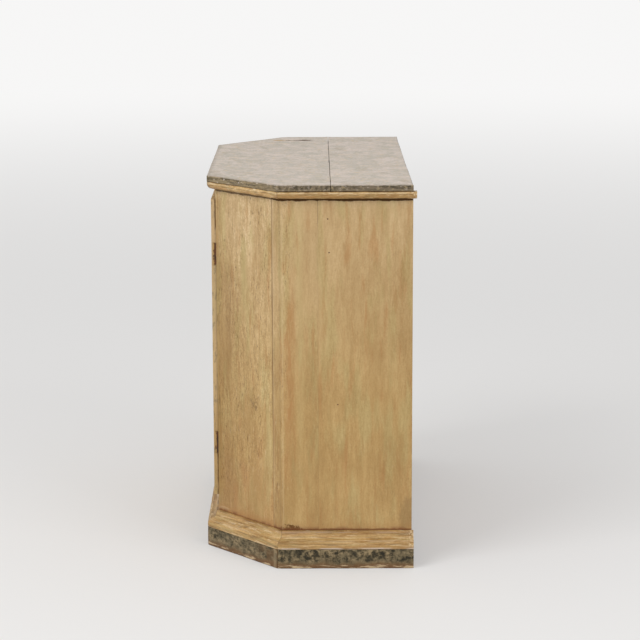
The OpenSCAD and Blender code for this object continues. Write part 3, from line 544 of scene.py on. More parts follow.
@once
def top_paint(seed=0):
    """Warm grey marbled paint on the top, with a dark marbled edge"""
    f = Finish("top_paint", 0.5, 0, seed)
    drift = f.cloud((0.050, 0.042, 0.1), 1, warp=0.8)
    f.coat = f.mix(drift.step(0.36, 0.64), f.paint.top_pink, f.paint.top_grey)
    stroke = f.cloud((0.022, 0.020, 0.1), 2, 5, 0.64, 0.9)
    f.lay("top_green", stroke.step(0.48, 0.68, 0, 0.5))
    f.lay("cream", f.cloud((0.016, 0.016, 0.1), 3, 4, 0.62, 0.7).step(0.52, 0.70, 0, 0.5))
    f.lay("slab_ochre", f.cloud((0.09, 0.05, 0.1), 9, 3).step(0.56, 0.72, 0, 0.30))
    fine = f.cloud((0.010, 0.0055, 0.1), 4, 4, 0.62)
    f.shade(fine.step(0.25, 0.75, 0.91, 1.09))
    rim = f.stray(f.rim(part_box("top_back_board")[1].x), 0.016, 0.03, 8)
    f.lay("slab_edge", rim.step(0.014, 0.003, 0, 0.34))
    face = f.coat
    canted = f.y.step(ARRIS_Y + 0.01, ARRIS_Y - 0.03, 0, 0.85)
    f.coat = f.mix(canted, f.paint.slab_edge, f.paint.slab_ochre)
    marble = f.mix(f.y.step(0.05, 0.12) | canted, f.cloud((0.010, 0.010, 0.012), 5, 4, 0.62, 0.5),
                   f.cloud((0.030, 0.030, 0.005), 11))
    f.lay("slab_dark", marble.step(0.60, 0.40, 0, 0.78))
    f.lay("plinth_olive", f.cloud((0.030, 0.030, 0.008), 12, 3).step(0.46, 0.60, 0, 0.7) * canted)
    f.lay("slab_ochre", f.cloud((0.009, 0.009, 0.008), 6).step(0.53, 0.66, 0, 0.65))
    front_end = f.from_mitre("front").near(0, 0.035)
    nicks = f.cloud((0.012, 0.012, 0.006), 10, 4, 0.65).step(0.57, 0.67)
    f.lay("top_pink", nicks * ((canted | front_end) * 0.5 + 0.3))
    f.lay("slab_dark", front_end * 0.4)
    f.lay("slab_ochre", f.z.near(SLAB_LOW + 3.5 * MM, 2.5 * MM) * 0.35)
    # Painted shadow: a dark line along the foot of the top's edge, where it meets the cornice, fainter on the
    # cant
    f.lay("glaze", f.z.step(SLAB_LOW + 2.2 * MM, SLAB_LOW + 0.6 * MM) * (0.8 - canted * 0.55))
    line = f.stray(f.z, 4.5 * MM, 0.014, 7)
    f.coat = f.mix(line.step(TOP - 2.6 * MM, TOP - 0.4 * MM), f.coat, face)
    x, y = SPLIT
    f.lay("glaze", f.patch(f.x, f.y, (x, y + 78 * MM), (0.015, 0.040), 0.4) * 0.9)
    f.lay("trim", f.patch(f.x, f.y, (x, y + 20 * MM), (0.013, 0.024), 0.4) * 0.7)
    return f.done(stroke + fine * 0.5, roughness=drift.step(0.3, 0.7, 0.42, 0.58))


@once
def plinth_paint(seed=0, canted=False):
    """Dark green marbling over olive and ochre, worn to wood along the floor"""
    f = Finish("plinth_paint", 0.5, 0, seed)
    ground = f.cloud((0.035, 0.035, 0.02), 1, 3, 0.5)
    f.coat = f.mix(ground.step(0.40, 0.62), f.paint.plinth_olive, f.paint.plinth_ochre)
    low = f.stray(f.z, 0.030, 0.025, 2, 3, 0.5)
    f.lay("plinth_brown", low.step(0.022, 0.004, 0, 0.8))
    dabs = f.cloud((0.018, 0.018, 0.011) if canted else (0.012, 0.012, 0.013), 3, warp=0.4)
    higher = low.step(0.006, 0.026, 0.22, 1)
    f.lay("plinth_dark", dabs.step(0.38, 0.65) * higher * (0.70 if canted else 0.92))
    speck = f.cloud((0.009, 0.009, 0.006), 4)
    f.lay("plinth_dark", speck.step(0.48, 0.64) * higher * 0.65)
    f.lay("plinth_ochre", f.cloud((0.009, 0.009, 0.007), 5).step(0.58, 0.70, 0, 0.5))
    if canted:
        bare = f.wide.step(HALF_W - 0.045, HALF_W) * f.cloud(0.02, 6, 3, 0.5).step(0.40, 0.6)
        f.lay("plinth_brown", bare * 0.6)
    foot = f.stray(f.z, 14 * MM, 0.035, 8)
    f.lay("rust", foot.step(14 * MM, 8 * MM) * 0.28)
    f.lay("cream", f.cloud((0.04, 0.04, 0.006), 7).step(0.46, 0.56) * foot.step(9 * MM, 6.5 * MM) * 0.7)
    # Painted contact shadow along the floor
    f.lay("glaze", f.z.step(2 * MM, 0.8 * MM, 0, 0.8))
    if canted:
        f.lay("slab_ochre", (f.from_mitre("side") + 9 * MM).near(0, 7 * MM) * 0.5)
    f.lay("glaze", f.mitres() * 0.9)
    return f.done(speck - dabs)


def wood_grain(f):
    """Makes the coat old softwood: growth rings drawn out along the grain, darkened by age. Returns their
    height."""
    ring = f.streak(0.009, 0.30, 31, 3, 0.5, 0.6)
    f.coat = f.mix(ring.step(0.42, 0.62, 0, 0.42), f.paint.wood, f.paint.wood_dark)
    fine = f.streak(0.0012, 0.05, 32)
    f.vary(fine, 0.08, 0.25)
    f.vary(f.streak(0.05, 0.20, 34, 3, 0.5), 0.10)
    f.lay("wood_dark", f.streak(0.08, 0.25, 33).step(0.48, 0.72, 0, 0.45))
    return fine + ring


@once
def bare_wood(grain=UP, seed=0, joints=()):
    """Old softwood. Joints are the places across, in metres, where one plank ends and the next begins."""
    f = Finish("bare_wood", 0.75, grain, seed)
    plank = sum((f.x > joint for joint in joints), 0.0)
    if joints:
        shift = f.get("ShaderNodeCombineXYZ", X=plank * 0.31, Y=plank * 0.17, Z=plank * 1.3)
        f.place = f.joined("ShaderNodeVectorMath", {"operation": "ADD"}, {0: f.place, 1: shift})
    height = wood_grain(f)
    if joints:
        f.vary(f.get("ShaderNodeTexWhiteNoise", {"noise_dimensions": "1D"}, W=plank), 0.14, 0.5)
    return f.done(height)


@once
def iron(seed=0, painted=0.0, rubbed=0.0):
    """Dark iron with rust. Painted says how much of it is still under the case's paint, and rubbed how much
    of it is worn bright."""
    f = Finish("iron", 0.6, UP, seed, 0.6 * (1 - painted))
    f.coat = f.mix(f.cloud(0.011, 1, 5, 0.7).step(0.38, 0.66, 0.1, 0.85), f.paint.iron, f.paint.rust)
    pits = f.cloud(0.0018, 2, 4, 0.65)
    f.shade(pits.step(0.3, 0.7, 0.82, 1.12))
    if painted:
        low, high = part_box("hinge_pins_right")
        middle = (low.y + high.y) / 2
        left = f.cloud((0.008, 0.008, 0.014), 4).step(0.62 - 0.25 * painted, 0.68 - 0.25 * painted)
        f.lay("ochre_low", left * f.y.step(middle + 1.5 * MM, middle))
    if rubbed:
        f.lay("slab_ochre", f.cloud(0.003, 5, 3, 0.5).step(0.35, 0.6, 0.4 * rubbed, rubbed))
    return f.done(pits, 0.0001, f.cloud(0.004, 3, 3, 0.5).step(0.3, 0.7, 0.5, 0.8), False)


@once
def brass(seed=0):
    """Dull brass, browner where hands don't rub it"""
    f = Finish("brass", 0.35, UP, seed, 1.0)
    f.coat = f.mix(f.cloud(0.007, 1).step(0.45, 0.65, 0, 0.6), f.paint.brass, f.paint.brass_dark)
    shine = f.cloud(0.006, 3, 3, 0.5).step(0.3, 0.7, 0.28, 0.5)
    return f.done(f.cloud(0.002, 2, 3, 0.5), 0.00005, shine, False)


# Making pieces


def wobble(place, period, seed):
    """A smooth random number from 0 to 1 that changes over about one period"""
    spot = Vector(place) / period + Vector((seed, 2.3 * seed, -1.1 * seed))
    return min(1, max(0, 0.5 + 0.8 * noise.noise(spot)))


def in_scene(name, data):
    thing = bpy.data.objects.new(name, data)
    bpy.context.scene.collection.objects.link(thing)
    return thing


def drawn_mesh(name, points, faces=()):
    mesh = bpy.data.meshes.new(name)
    mesh.from_pydata([tuple(point) for point in points], [], faces)
    return mesh


def frozen(thing):
    """The mesh of an object with its modifiers applied. The object is removed."""
    mesh = bpy.data.meshes.new_from_object(thing.evaluated_get(bpy.context.evaluated_depsgraph_get()))
    bpy.data.objects.remove(thing)
    return mesh


def keep(name, mesh, paints, body, hides=()):
    """Makes a finished mesh a piece that rides on a body"""
    mesh.shade_smooth()
    mesh.set_sharp_from_angle(angle=CREASE)
    mesh.materials.clear()
    for material in paints:
        mesh.materials.append(material)
    piece = in_scene(name, mesh)
    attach(piece, body)
    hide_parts(*hides)


def welded(node):
    """A shell that holds a CAD node's mesh, its doubled vertices merged"""
    shell = bmesh.new()
    shell.from_mesh(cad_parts[node].data)
    bmesh.ops.remove_doubles(shell, verts=shell.verts, dist=1e-6)
    return shell


def solid(name, points, faces):
    """A closed mesh whose faces point outwards"""
    mesh = drawn_mesh(name, points, faces)
    shell = bmesh.new()
    shell.from_mesh(mesh)
    return poured(shell, mesh)


def poured(shell, mesh):
    """The mesh with a shell's contents, its faces turned outwards. The shell is freed."""
    bmesh.ops.recalc_face_normals(shell, faces=shell.faces)
    shell.to_mesh(mesh)
    shell.free()
    return mesh


def skin(rings, count):
    """The faces between closed rings of equally many points"""
    return [(r * count + i, r * count + (i + 1) % count, (r + 1) * count + (i + 1) % count, (r + 1) * count + i)
            for r in range(rings - 1) for i in range(count)]


def arc(centre, radius, start, end, steps):
    """Points along an arc in degrees, its ends included"""
    angles = [radians(start + (end - start) * i / steps) for i in range(steps + 1)]
    return [(centre[0] + radius * cos(a), centre[1] + radius * sin(a)) for a in angles]


def arris(point, before, after, out):
    """The plan point of an arris moved out, where the wall's heading turns from before to after"""
    heading = (before + after) / 2
    reach = out / cos((after - before) / 2)
    return Vector((point[0] + reach * sin(heading), point[1] - reach * cos(heading)))


def front_arris(out):
    return arris((HALF_FRONT, FRONT), 0, CANT, out)


def side_arris(out):
    return arris((HALF_W, ARRIS_Y), CANT, pi / 2, out)


def mirrored(point, way):
    return Vector((way * point[0], point[1]))


def past_side(node):
    """How far a node reaches past the side of the case"""
    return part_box(node)[1].x - HALF_W


def run_ends(part, side, out, back):
    """The two plan points, moved out, between which a run of moulding lies"""
    if part == "front":
        return mirrored(front_arris(out), -1), front_arris(out)
    ends = (front_arris(out), side_arris(out)) if part == "cant" else (side_arris(out), (HALF_W + out, back))
    return [mirrored(end, SIDES[side]) for end in ends]


def outward(section):
    """The outward direction at each point of a section of (out, height) points, walked anticlockwise"""
    normals = []
    for before, after in zip(section[-1:] + section[:-1], section[1:] + section[:1]):
        across = Vector((after[1] - before[1], before[0] - after[0]))
        normals.append(across.normalized() if across.length > 0 else Vector((0, 0)))
    return normals


def mouldings(kind, section, low, paints):
    """Sweeps a section along every run between its mitres, with dents and open joints at its ends. Paints
    makes the paint of a run from its number and part."""
    wear = bpy.context.scene.cabinet_wear
    normals = outward(section)
    for number, (part, side) in enumerate(RUNS):
        node = "_".join(word for word in (kind, part, side) if word)
        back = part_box(node)[1].y
        start, end = run_ends(part, side, 0, back)
        distance = (end - start).length
        stations = max(8, round(distance / (wear.station / 2)))
        seed = wear.seed + 11 * number
        points = []
        for s in range(stations + 1):
            share = s / stations
            along = share * distance
            gap = max(0, 1 - min(along, distance - along) / (1.5 * MM))
            for (out, height), normal in zip(section, normals):
                a, b = run_ends(part, side, out, back)
                spot = (*a.lerp(b, share), low + height)
                dent = 0.55 * wobble(spot, 45 * MM, seed) ** 2 + 0.45 * wobble(spot, 9 * MM, seed + 5) ** 3
                depth = (wear.dent * dent + 0.4 * MM * gap) * (out > 0.5 * MM)
                a, b = run_ends(part, side, out - normal.x * depth, back)
                points.append((*a.lerp(b, share), low + height - normal.y * depth))
        count = len(section)
        ends = [list(range(count)), list(range(len(points) - count, len(points)))]
        mesh = solid(node, points, ends + skin(stations + 1, count))
        keep("worn_" + node, mesh, [paints(number, part)], "case", [node])


def worn(node, paints, body, seed, edge, seams=()):
    """A copy of a node whose long sharp edges are rounded unevenly. The rounding takes the second paint.
    Seams are (axis, value) planes beside which less is worn off."""
    wear = bpy.context.scene.cabinet_wear
    shell = welded(node)
    bmesh.ops.dissolve_limit(shell, angle_limit=radians(0.5), verts=shell.verts, edges=shell.edges)
    weight = shell.edges.layers.float.new("bevel_weight_edge")

    def sharp(line):
        return len(line.link_faces) == 2 and line.calc_face_angle() > SHARP

    for line in shell.edges:
        line[weight] = float(sharp(line) and line.is_convex and line.calc_length() > SHORTEST_WORN)
    low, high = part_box(node)
    axis = max(range(3), key=lambda i: (high - low)[i])
    taken = [vertex.co[axis] for vertex in shell.verts]
    count = round((high - low)[axis] / wear.station)
    for i in range(1, count):
        at = low[axis] + (high - low)[axis] * (i + 0.6 * wobble((i, 0, 0), 1.7, seed) - 0.3) / count
        if min(abs(at - value) for value in taken) < CLOSEST_CUT:
            continue
        cut = Vector((0, 0, 0))
        cut[axis] = 1
        everything = shell.verts[:] + shell.edges[:] + shell.faces[:]
        bmesh.ops.bisect_plane(shell, geom=everything, plane_co=cut * at, plane_no=cut, dist=1e-7)
    for line in shell.edges:
        if line[weight] == 0:
            continue
        if not sharp(line):
            line[weight] = 0.0
            continue
        middle = (line.verts[0].co + line.verts[1].co) / 2
        share = 0.18 + 0.5 * wobble(middle, 60 * MM, seed) ** 2 + 0.32 * wobble(middle, 14 * MM, seed + 3) ** 2
        if any(abs(middle[a] - value) < 0.6 * MM for a, value in seams):
            share = min(share, 1) * wear.seam / edge
        line[weight] = min(share, 1)
    mesh = bpy.data.meshes.new(node)
    shell.to_mesh(mesh)
    shell.free()
    for attribute in ("sharp_face", "sharp_edge", "custom_normal"):
        if attribute in mesh.attributes:
            mesh.attributes.remove(mesh.attributes[attribute])
    for material in paints:
        mesh.materials.append(material)
    rough = in_scene("rough_" + node, mesh)
    bevel = rough.modifiers.new("Worn edges", "BEVEL")
    bevel.limit_method = "WEIGHT"
    bevel.width = edge
    bevel.segments = 2
    bevel.use_clamp_overlap = False
    bevel.material = len(paints) - 1
    result = frozen(rough)
    result.name = "worn_" + node
    indices = [polygon.material_index for polygon in result.polygons]
    keep("worn_" + node, result, paints, body, [node])
    for polygon, index in zip(result.polygons, indices):
        polygon.material_index = index


def repaint(material, *nodes):
    """Gives CAD nodes a better material"""
    for node in nodes:
        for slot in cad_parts[node].material_slots:
            slot.material = material


# The operators, one for each group of pieces


class MakeTop(bpy.types.Operator):
    """Make the two worn boards of the top"""
    bl_idname = "cabinet.make_top"
    bl_label = "Top"

    def execute(self, context):
        wear = context.scene.cabinet_wear
        over = past_side("top_back_board")
        joint, near, far = 3 * MM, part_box("top_front_board")[1].y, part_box("top_back_board")[0].y
        right, left = HALF_W + over, -HALF_W - over
        arrises = [(side_arris(over), wear.corner), (front_arris(over), wear.corner),
                   (mirrored(front_arris(over), -1), wear.corner),
                   (mirrored(side_arris(over), -1), wear.left_corner)]
        self.board("top_front_board", [((right, near), joint), *arrises, ((left, near), joint)], near, over, wear)
        self.board("top_back_board", [(corner, joint) for corner in ((right, BACK), (right, far), (left, far),
                                                                     (left, BACK))], far, over, wear)
        return {"FINISHED"}

    def board(self, node, corners, joint, over, wear):
        """Walks round a board's corners, each with its worn radius, and notes how far in a point may move"""
        corners = [(Vector(corner), radius) for corner, radius in corners]
        count = len(corners)
        step, bends = 5 * MM, 6
        arcs = []
        for i, (here, radius) in enumerate(corners):
            into = (here - corners[i - 1][0]).normalized()
            out_of = (corners[(i + 1) % count][0] - here).normalized()
            turn = into.angle_signed(out_of)
            cut = abs(radius * sin(turn / 2) / cos(turn / 2))
            start, end = here - into * cut, here + out_of * cut
            arcs.append([start * (1 - t) ** 2 + here * 2 * t * (1 - t) + end * t ** 2
                         for t in [k / bends for k in range(bends + 1)]])
        points, limits = [], []
        for i, bend in enumerate(arcs):
            here, there = 0.65 * corners[i][1], 0.65 * corners[(i + 1) % count][1]
            points += bend
            limits += [here] * len(bend)
            start, end = bend[-1], arcs[(i + 1) % count][0]
            distance = (end - start).length
            pieces = max(1, round(distance / step))
            for k in range(1, pieces):
                along = distance * k / pieces
                points.append(start.lerp(end, k / pieces))
                limits.append(min(here + 0.9 * along, there + 0.9 * (distance - along)))
        self.loft(node, points, limits, joint, over, wear)

    def loft(self, node, points, limits, joint, over, wear):
        """Lofts the worn profile of a board's edge round its outline, and closes the board"""
        count = len(points)
        high = TOP - SLAB_LOW
        rings = [[] for _ in range(8)]
        seed = wear.seed + len(node)
        for i, point in enumerate(points):
            along = (points[(i + 1) % count] - points[i - 1]).normalized()
            out = Vector((-along.y, along.x))
            spot = (point.x, point.y, 0)

            def varied(period, shift):
                return wobble(spot, period * MM, seed + shift)

            at_joint = abs(point.y - joint) < 1.5 * MM
            if at_joint:
                radius = 0.8 * MM
                bite = (varied(90, 0) ** 3 * 1.6 * MM + varied(12, 2) * 0.3 * MM) * 0.6
            else:
                radius = (2.2 + 2.6 * varied(70, 0) + 1.2 * varied(14, 1) ** 2) * MM
                bite = (1.2 * varied(160, 3) + 0.7 * varied(11, 4) ** 2) * MM
                bite *= min(1, 0.2 + abs(point.y - FRONT + over) / (60 * MM))
            under = (0.6 + 1.6 * varied(25, 6) ** 2) * MM * (0.4 if at_joint else 1)
            profile = [(under, 0), (0.25 * under, 0.3 * under), (0, under), (0, high - radius)]
            profile += [(radius * (1 - cos(a)), high - radius * (1 - sin(a))) for a in (radians(30), radians(60))]
            profile += [(radius, high), (radius + 4 * MM, high)]
            room = min(1, limits[i] / (profile[-1][0] + bite))
            for ring, (inset, rise) in zip(rings, profile):
                ring.append((*(point - out * (inset + bite) * room), SLAB_LOW + rise))
        shell = bmesh.new()
        verts = [shell.verts.new(vertex) for ring in rings for vertex in ring]
        for face in skin(len(rings), count):
            shell.faces.new([verts[k] for k in face])
        shell.faces.new(verts[:count])
        if node == "top_front_board":
            inner = verts[-count:]
            rim = [shell.edges.get((inner[i], inner[(i + 1) % count])) for i in range(count)]
            bmesh.ops.triangle_fill(shell, use_beauty=True, edges=rim + self.split(shell, wear))
        else:
            shell.faces.new(verts[-count:])
        mesh = poured(shell, bpy.data.meshes.new(node))
        keep("worn_" + node, mesh, [top_paint(wear.seed)], "case", [node])

    def split(self, shell, wear):
        """Sinks the long split near the left end, and returns the edges of its mouth"""
        (x, y), half = SPLIT, 14
        mouth = []
        for i in range(2 * half):
            share = (i if i <= half else 2 * half - i) / half
            way = 1 if i < half else -1
            width = SPLIT_WIDE * sin(pi * share) ** 0.7 * (0.7 + 0.6 * wobble((share, way, 0), 0.13, wear.seed))
            mouth.append((x + way * width / 2, y + SPLIT_LONG * share))
        middle = y + SPLIT_LONG / 2
        top_ring = [shell.verts.new((px, py, TOP)) for px, py in mouth]
        low_ring = [shell.verts.new((x + (px - x) * 0.35, middle + (py - middle) * 0.9, TOP - SPLIT_DEEP))
                    for px, py in mouth]
        edges = []
        for i in range(2 * half):
            j = (i + 1) % (2 * half)
            shell.faces.new([top_ring[i], top_ring[j], low_ring[j], low_ring[i]])
            edges.append(shell.edges.get((top_ring[i], top_ring[j])))
        shell.faces.new(low_ring)
        return edges


class MakeCornice(bpy.types.Operator):
    """Make the cornice's worn mouldings"""
    bl_idname = "cabinet.make_cornice"
    bl_label = "Cornice"

    def execute(self, context):
        radius = context.scene.cabinet_mouldings.cornice_round
        reach = past_side("cornice_side_right")
        height = SLAB_LOW - CORNICE_LOW
        foot, shoulder = reach - radius, 2 * MM
        section = [(0, 0), (foot, 0)] + arc((foot, radius), radius, -80, 0, 7)
        section += arc((reach - shoulder, height - shoulder), shoulder, 0, 90, 3) + [(0, height)]

        def paints(number, part):
            # The runs on the cants are painted lighter, as painted light, and their streaks are stronger
            contrast, lit_tone = (1.4, 1.15) if part == "cant" else (1.0, 1.0)
            return trim_paint(CORNICE_MARKS, 2 + number, contrast, lit_tone, contrast)

        mouldings("cornice", section, CORNICE_LOW, paints)
        return {"FINISHED"}


class MakeBaseMoulding(bpy.types.Operator):
    """Make the worn base mouldings over the plinth"""
    bl_idname = "cabinet.make_base_moulding"
    bl_label = "Base moulding"

    def execute(self, context):
        sizes = context.scene.cabinet_mouldings
        reach = past_side("base_moulding_side_right")
        height = BASE_HIGH - BASE_LOW
        shelf = reach - sizes.ovolo
        bead_z = sizes.band + sizes.ovolo + sizes.bead
        hollow_z = bead_z + sizes.bead + sizes.hollow
        section = [(0, 0)] + arc((reach - MM, MM), MM, -90, 0, 2)
        section += arc((shelf, sizes.band), sizes.ovolo, 0, 84, 6)
        section += arc((shelf, bead_z), sizes.bead, -70, 90, 5)
        section += arc((shelf, hollow_z), sizes.hollow, -84, -180, 7)
        section += arc((shelf - sizes.hollow - MM, height - MM), MM, 0, 90, 2) + [(0, height)]

        def paints(number, part):
            # The runs on the cants are painted lighter, as painted light, and their streaks are stronger
            marks, contrast, lit_tone = (CANT_BASE_MARKS, 1.35, 1.04) if part == "cant" else (BASE_MARKS, 1.2, 0.985)
            return trim_paint(marks, 22 + number, contrast, lit_tone, 2.4)

        mouldings("base_moulding", section, BASE_LOW, paints)
        return {"FINISHED"}


class MakePlinth(bpy.types.Operator):
    """Make the plinth's worn boards"""
    bl_idname = "cabinet.make_plinth"
    bl_label = "Plinth"

    def execute(self, context):
        reach = past_side("plinth_side_right")
        ease = 1.5 * MM
        section = [(0, 0)] + arc((reach - ease, ease), ease, -90, 0, 3)
        section += [(reach, 0.4 * BASE_LOW), (reach, 0.7 * BASE_LOW)]
        section += arc((reach - ease, BASE_LOW - ease), ease, 0, 90, 3) + [(0, BASE_LOW)]
        mouldings("plinth", section, 0.0, lambda number, part: plinth_paint(50 + number, part == "cant"))
        return {"FINISHED"}


class MakeCase(bpy.types.Operator):
    """Make the case's outer boards and rails"""
    bl_idname = "cabinet.make_case"
    bl_label = "Case"

    def execute(self, context):
        wear = context.scene.cabinet_wear
        for side, way in SIDES.items():
            seams = [(1, SIDE_JOINT), (0, way * SEAM_X)]
            for part, node, seed in (("cant", "cant_board_", 3), ("side_front", "side_front_board_", 9),
                                     ("side_back", "side_back_board_", 15)):
                paints = painted(UP, seed + (0 if way > 0 else 40), 0.85 if part == "cant" else 0.22, part)
                worn(node + side, paints, "case", wear.seed + way + len(part), wear.edge, seams)
        for node, seed in (("top_rail", 60), ("bottom_rail", 61)):
            worn(node, painted(0, seed, 0.3, ""), "case", seed, 1.2 * MM)
        return {"FINISHED"}


class MakeDoors(bpy.types.Operator):
    """Make the doors' worn stiles, rails, panels and mouldings"""
    bl_idname = "cabinet.make_doors"
    bl_label = "Doors"

    def execute(self, context):
        for side, way in SIDES.items():
            body = "door_" + side
            seed = 70 if way > 0 else 90
            meeting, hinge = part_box(f"{body}_meeting_stile"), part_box(f"{body}_hinge_stile")
            near, far = (1, 0) if way > 0 else (0, 1)
            seams = [(0, meeting[near].x), (0, hinge[far].x)]
            for i, (part, grain) in enumerate((("hinge_stile", UP), ("meeting_stile", UP),
                                               ("top_rail", 0), ("bottom_rail", 0), ("panel", UP))):
                paints = painted(grain, seed + i, 0.35, "door" if part == "hinge_stile" else "")
                edge = 0.8 * MM if part == "panel" else 1.8 * MM
                worn(f"{body}_{part}", paints, body, seed + i, edge, seams)
            paint = trim_paint((), seed + 7, 0.7, 1.0, 1.5, f"{body}_moulding")
            worn(f"{body}_moulding", [paint], body, seed + 7, 0.6 * MM)
        return {"FINISHED"}


class FinishInside(bpy.types.Operator):
    """Finish the bare wood inside and at the back, and close the gaps between the back planks"""
    bl_idname = "cabinet.finish_inside"
    bl_label = "Bare wood"

    def execute(self, context):
        grains = {"back_planks": UP, "back_rail": 0, "bottom_board": 0, "bottom_bearers": 1, "shelf": 0,
                  "shelf_cleats": 1, "glue_blocks": UP, "door_stops": 0, "top_battens": 1}
        planks = sorted(islands("back_planks"), key=lambda plank: plank[0].x)
        for seed, (node, grain) in enumerate(grains.items()):
            joints = tuple(low.x for low, _ in planks[1:]) if node == "back_planks" else ()
            repaint(bare_wood(grain, seed, joints), node)
        self.tongues(planks, bare_wood(UP, len(grains)))
        return {"FINISHED"}

    def tongues(self, planks, wood):
        """Thin loose tongues, let into the edges of the back planks"""
        points, faces = [], []
        for (low, _), (_, high) in zip(planks[1:], planks):
            x, y = (low.x + high.x) / 2, (low.y + high.y) / 2
            first = len(points)
            points += [(x + i * 4 * MM, y + j * 1.5 * MM, z) for z in (low.z + MM, high.z - MM)
                       for i, j in ((-1, -1), (1, -1), (1, 1), (-1, 1))]
            faces += [[first + k for k in face] for face in ((0, 1, 2, 3), (4, 5, 6, 7), *skin(2, 4))]
        keep("plank_tongues", solid("plank_tongues", points, faces), [wood], "case")


class FinishMetal(bpy.types.Operator):
    """Finish the hinges, lock, bolts and knobs"""
    bl_idname = "cabinet.finish_metal"
    bl_label = "Metal"

    def execute(self, context):
        repaint(iron(1), "lock_case", "lock_bolt", "lock_strike", "shoot_bolt_top", "shoot_bolt_bottom",
                "shoot_bolt_plates")
        for side in SIDES:
            repaint(iron(2, 0.7), "hinge_case_leaves_" + side, "hinge_door_leaves_" + side, "hinge_pins_" + side)
        repaint(brass(1), "knob_right", "knob_left")
        return {"FINISHED"}


def islands(node):
    """The box of each separate solid of a CAD node, in order"""
    shell = welded(node)
    left = set(shell.verts)
    boxes = []
    for first in shell.verts:
        if first not in left:
            continue
        left.remove(first)
        found = [first]
        for vertex in found:
            for line in vertex.link_edges:
                other = line.other_vert(vertex)
                if other in left:
                    left.remove(other)
                    found.append(other)
        places = list(zip(*[vertex.co for vertex in found]))
        boxes.append((Vector([min(p) for p in places]), Vector([max(p) for p in places])))
    shell.free()
    return boxes


def fastening_tree():
    """Geometry nodes that set a domed head on each point, turned to the point's facing attribute"""
    tree = bpy.data.node_groups.new("Fastenings", "GeometryNodeTree")
    for name, kind in (("Points", "Geometry"), ("Head radius", "Float"), ("Head height", "Float"),
                       ("Slot width", "Float"), ("Slot depth", "Float"), ("Slotted", "Bool"), ("Dents", "Float"),
                       ("Seed", "Int"), ("Material", "Material")):
        tree.interface.new_socket(name=name, in_out="INPUT", socket_type="NodeSocket" + kind)
    tree.interface.new_socket(name="Heads", in_out="OUTPUT", socket_type="NodeSocketGeometry")
    w = Wiring(tree)
    given = {socket.name: Level(w, socket) for socket in w.add("NodeGroupInput").outputs}
    radius, height = given["Head radius"], given["Head height"]
    dome = w.get("GeometryNodeMeshUVSphere", Segments=24, Rings=12, Radius=1.0)
    deep = given["Slot depth"] / height * 2.0
    bar = w.get("GeometryNodeMeshCube",
                Size=w.get("ShaderNodeCombineXYZ", X=3.0, Y=given["Slot width"] / radius, Z=deep))
    cutter = w.get("GeometryNodeTransform", Geometry=bar, Translation=(0.0, 0.0, 1.0))
    cut = w.get("GeometryNodeMeshBoolean", {"operation": "DIFFERENCE", "solver": "EXACT"}, Mesh_1=dome,
                Mesh_2=cutter)
    chosen = w.get("GeometryNodeSwitch", {"input_type": "GEOMETRY"}, Switch=given["Slotted"], False_=dome,
                   True_=cut)
    shape = w.get("GeometryNodeTransform", Geometry=chosen,
                  Scale=w.get("ShaderNodeCombineXYZ", X=radius, Y=radius, Z=height))
    facing = w.get("GeometryNodeInputNamedAttribute", {"data_type": "FLOAT_VECTOR"}, Name="facing")
    turn = w.joined("FunctionNodeRandomValue", {"data_type": "FLOAT"}, {3: 2 * pi, "Seed": given["Seed"]}, 1)
    spin = w.get("FunctionNodeAxisAngleToRotation", Angle=turn)
    aligned = w.get("FunctionNodeAlignRotationToVector", Rotation=spin, Vector=facing)
    heads = w.get("GeometryNodeInstanceOnPoints", Points=given["Points"], Instance=shape, Rotation=aligned)
    real = w.get("GeometryNodeRealizeInstances", Geometry=heads)
    depth = (w.get("ShaderNodeTexNoise", Scale=420.0, Detail=1.0) - 0.5) * given["Dents"]
    shift = w.joined("ShaderNodeVectorMath", {"operation": "SCALE"},
                     {0: w.get("GeometryNodeInputNormal"), "Scale": depth})
    dented = w.get("GeometryNodeSetPosition", Geometry=real, Offset=shift)
    coated = w.get("GeometryNodeSetMaterial", Geometry=dented, Material=given["Material"])
    w.add("NodeGroupOutput", Heads=coated)
    return tree


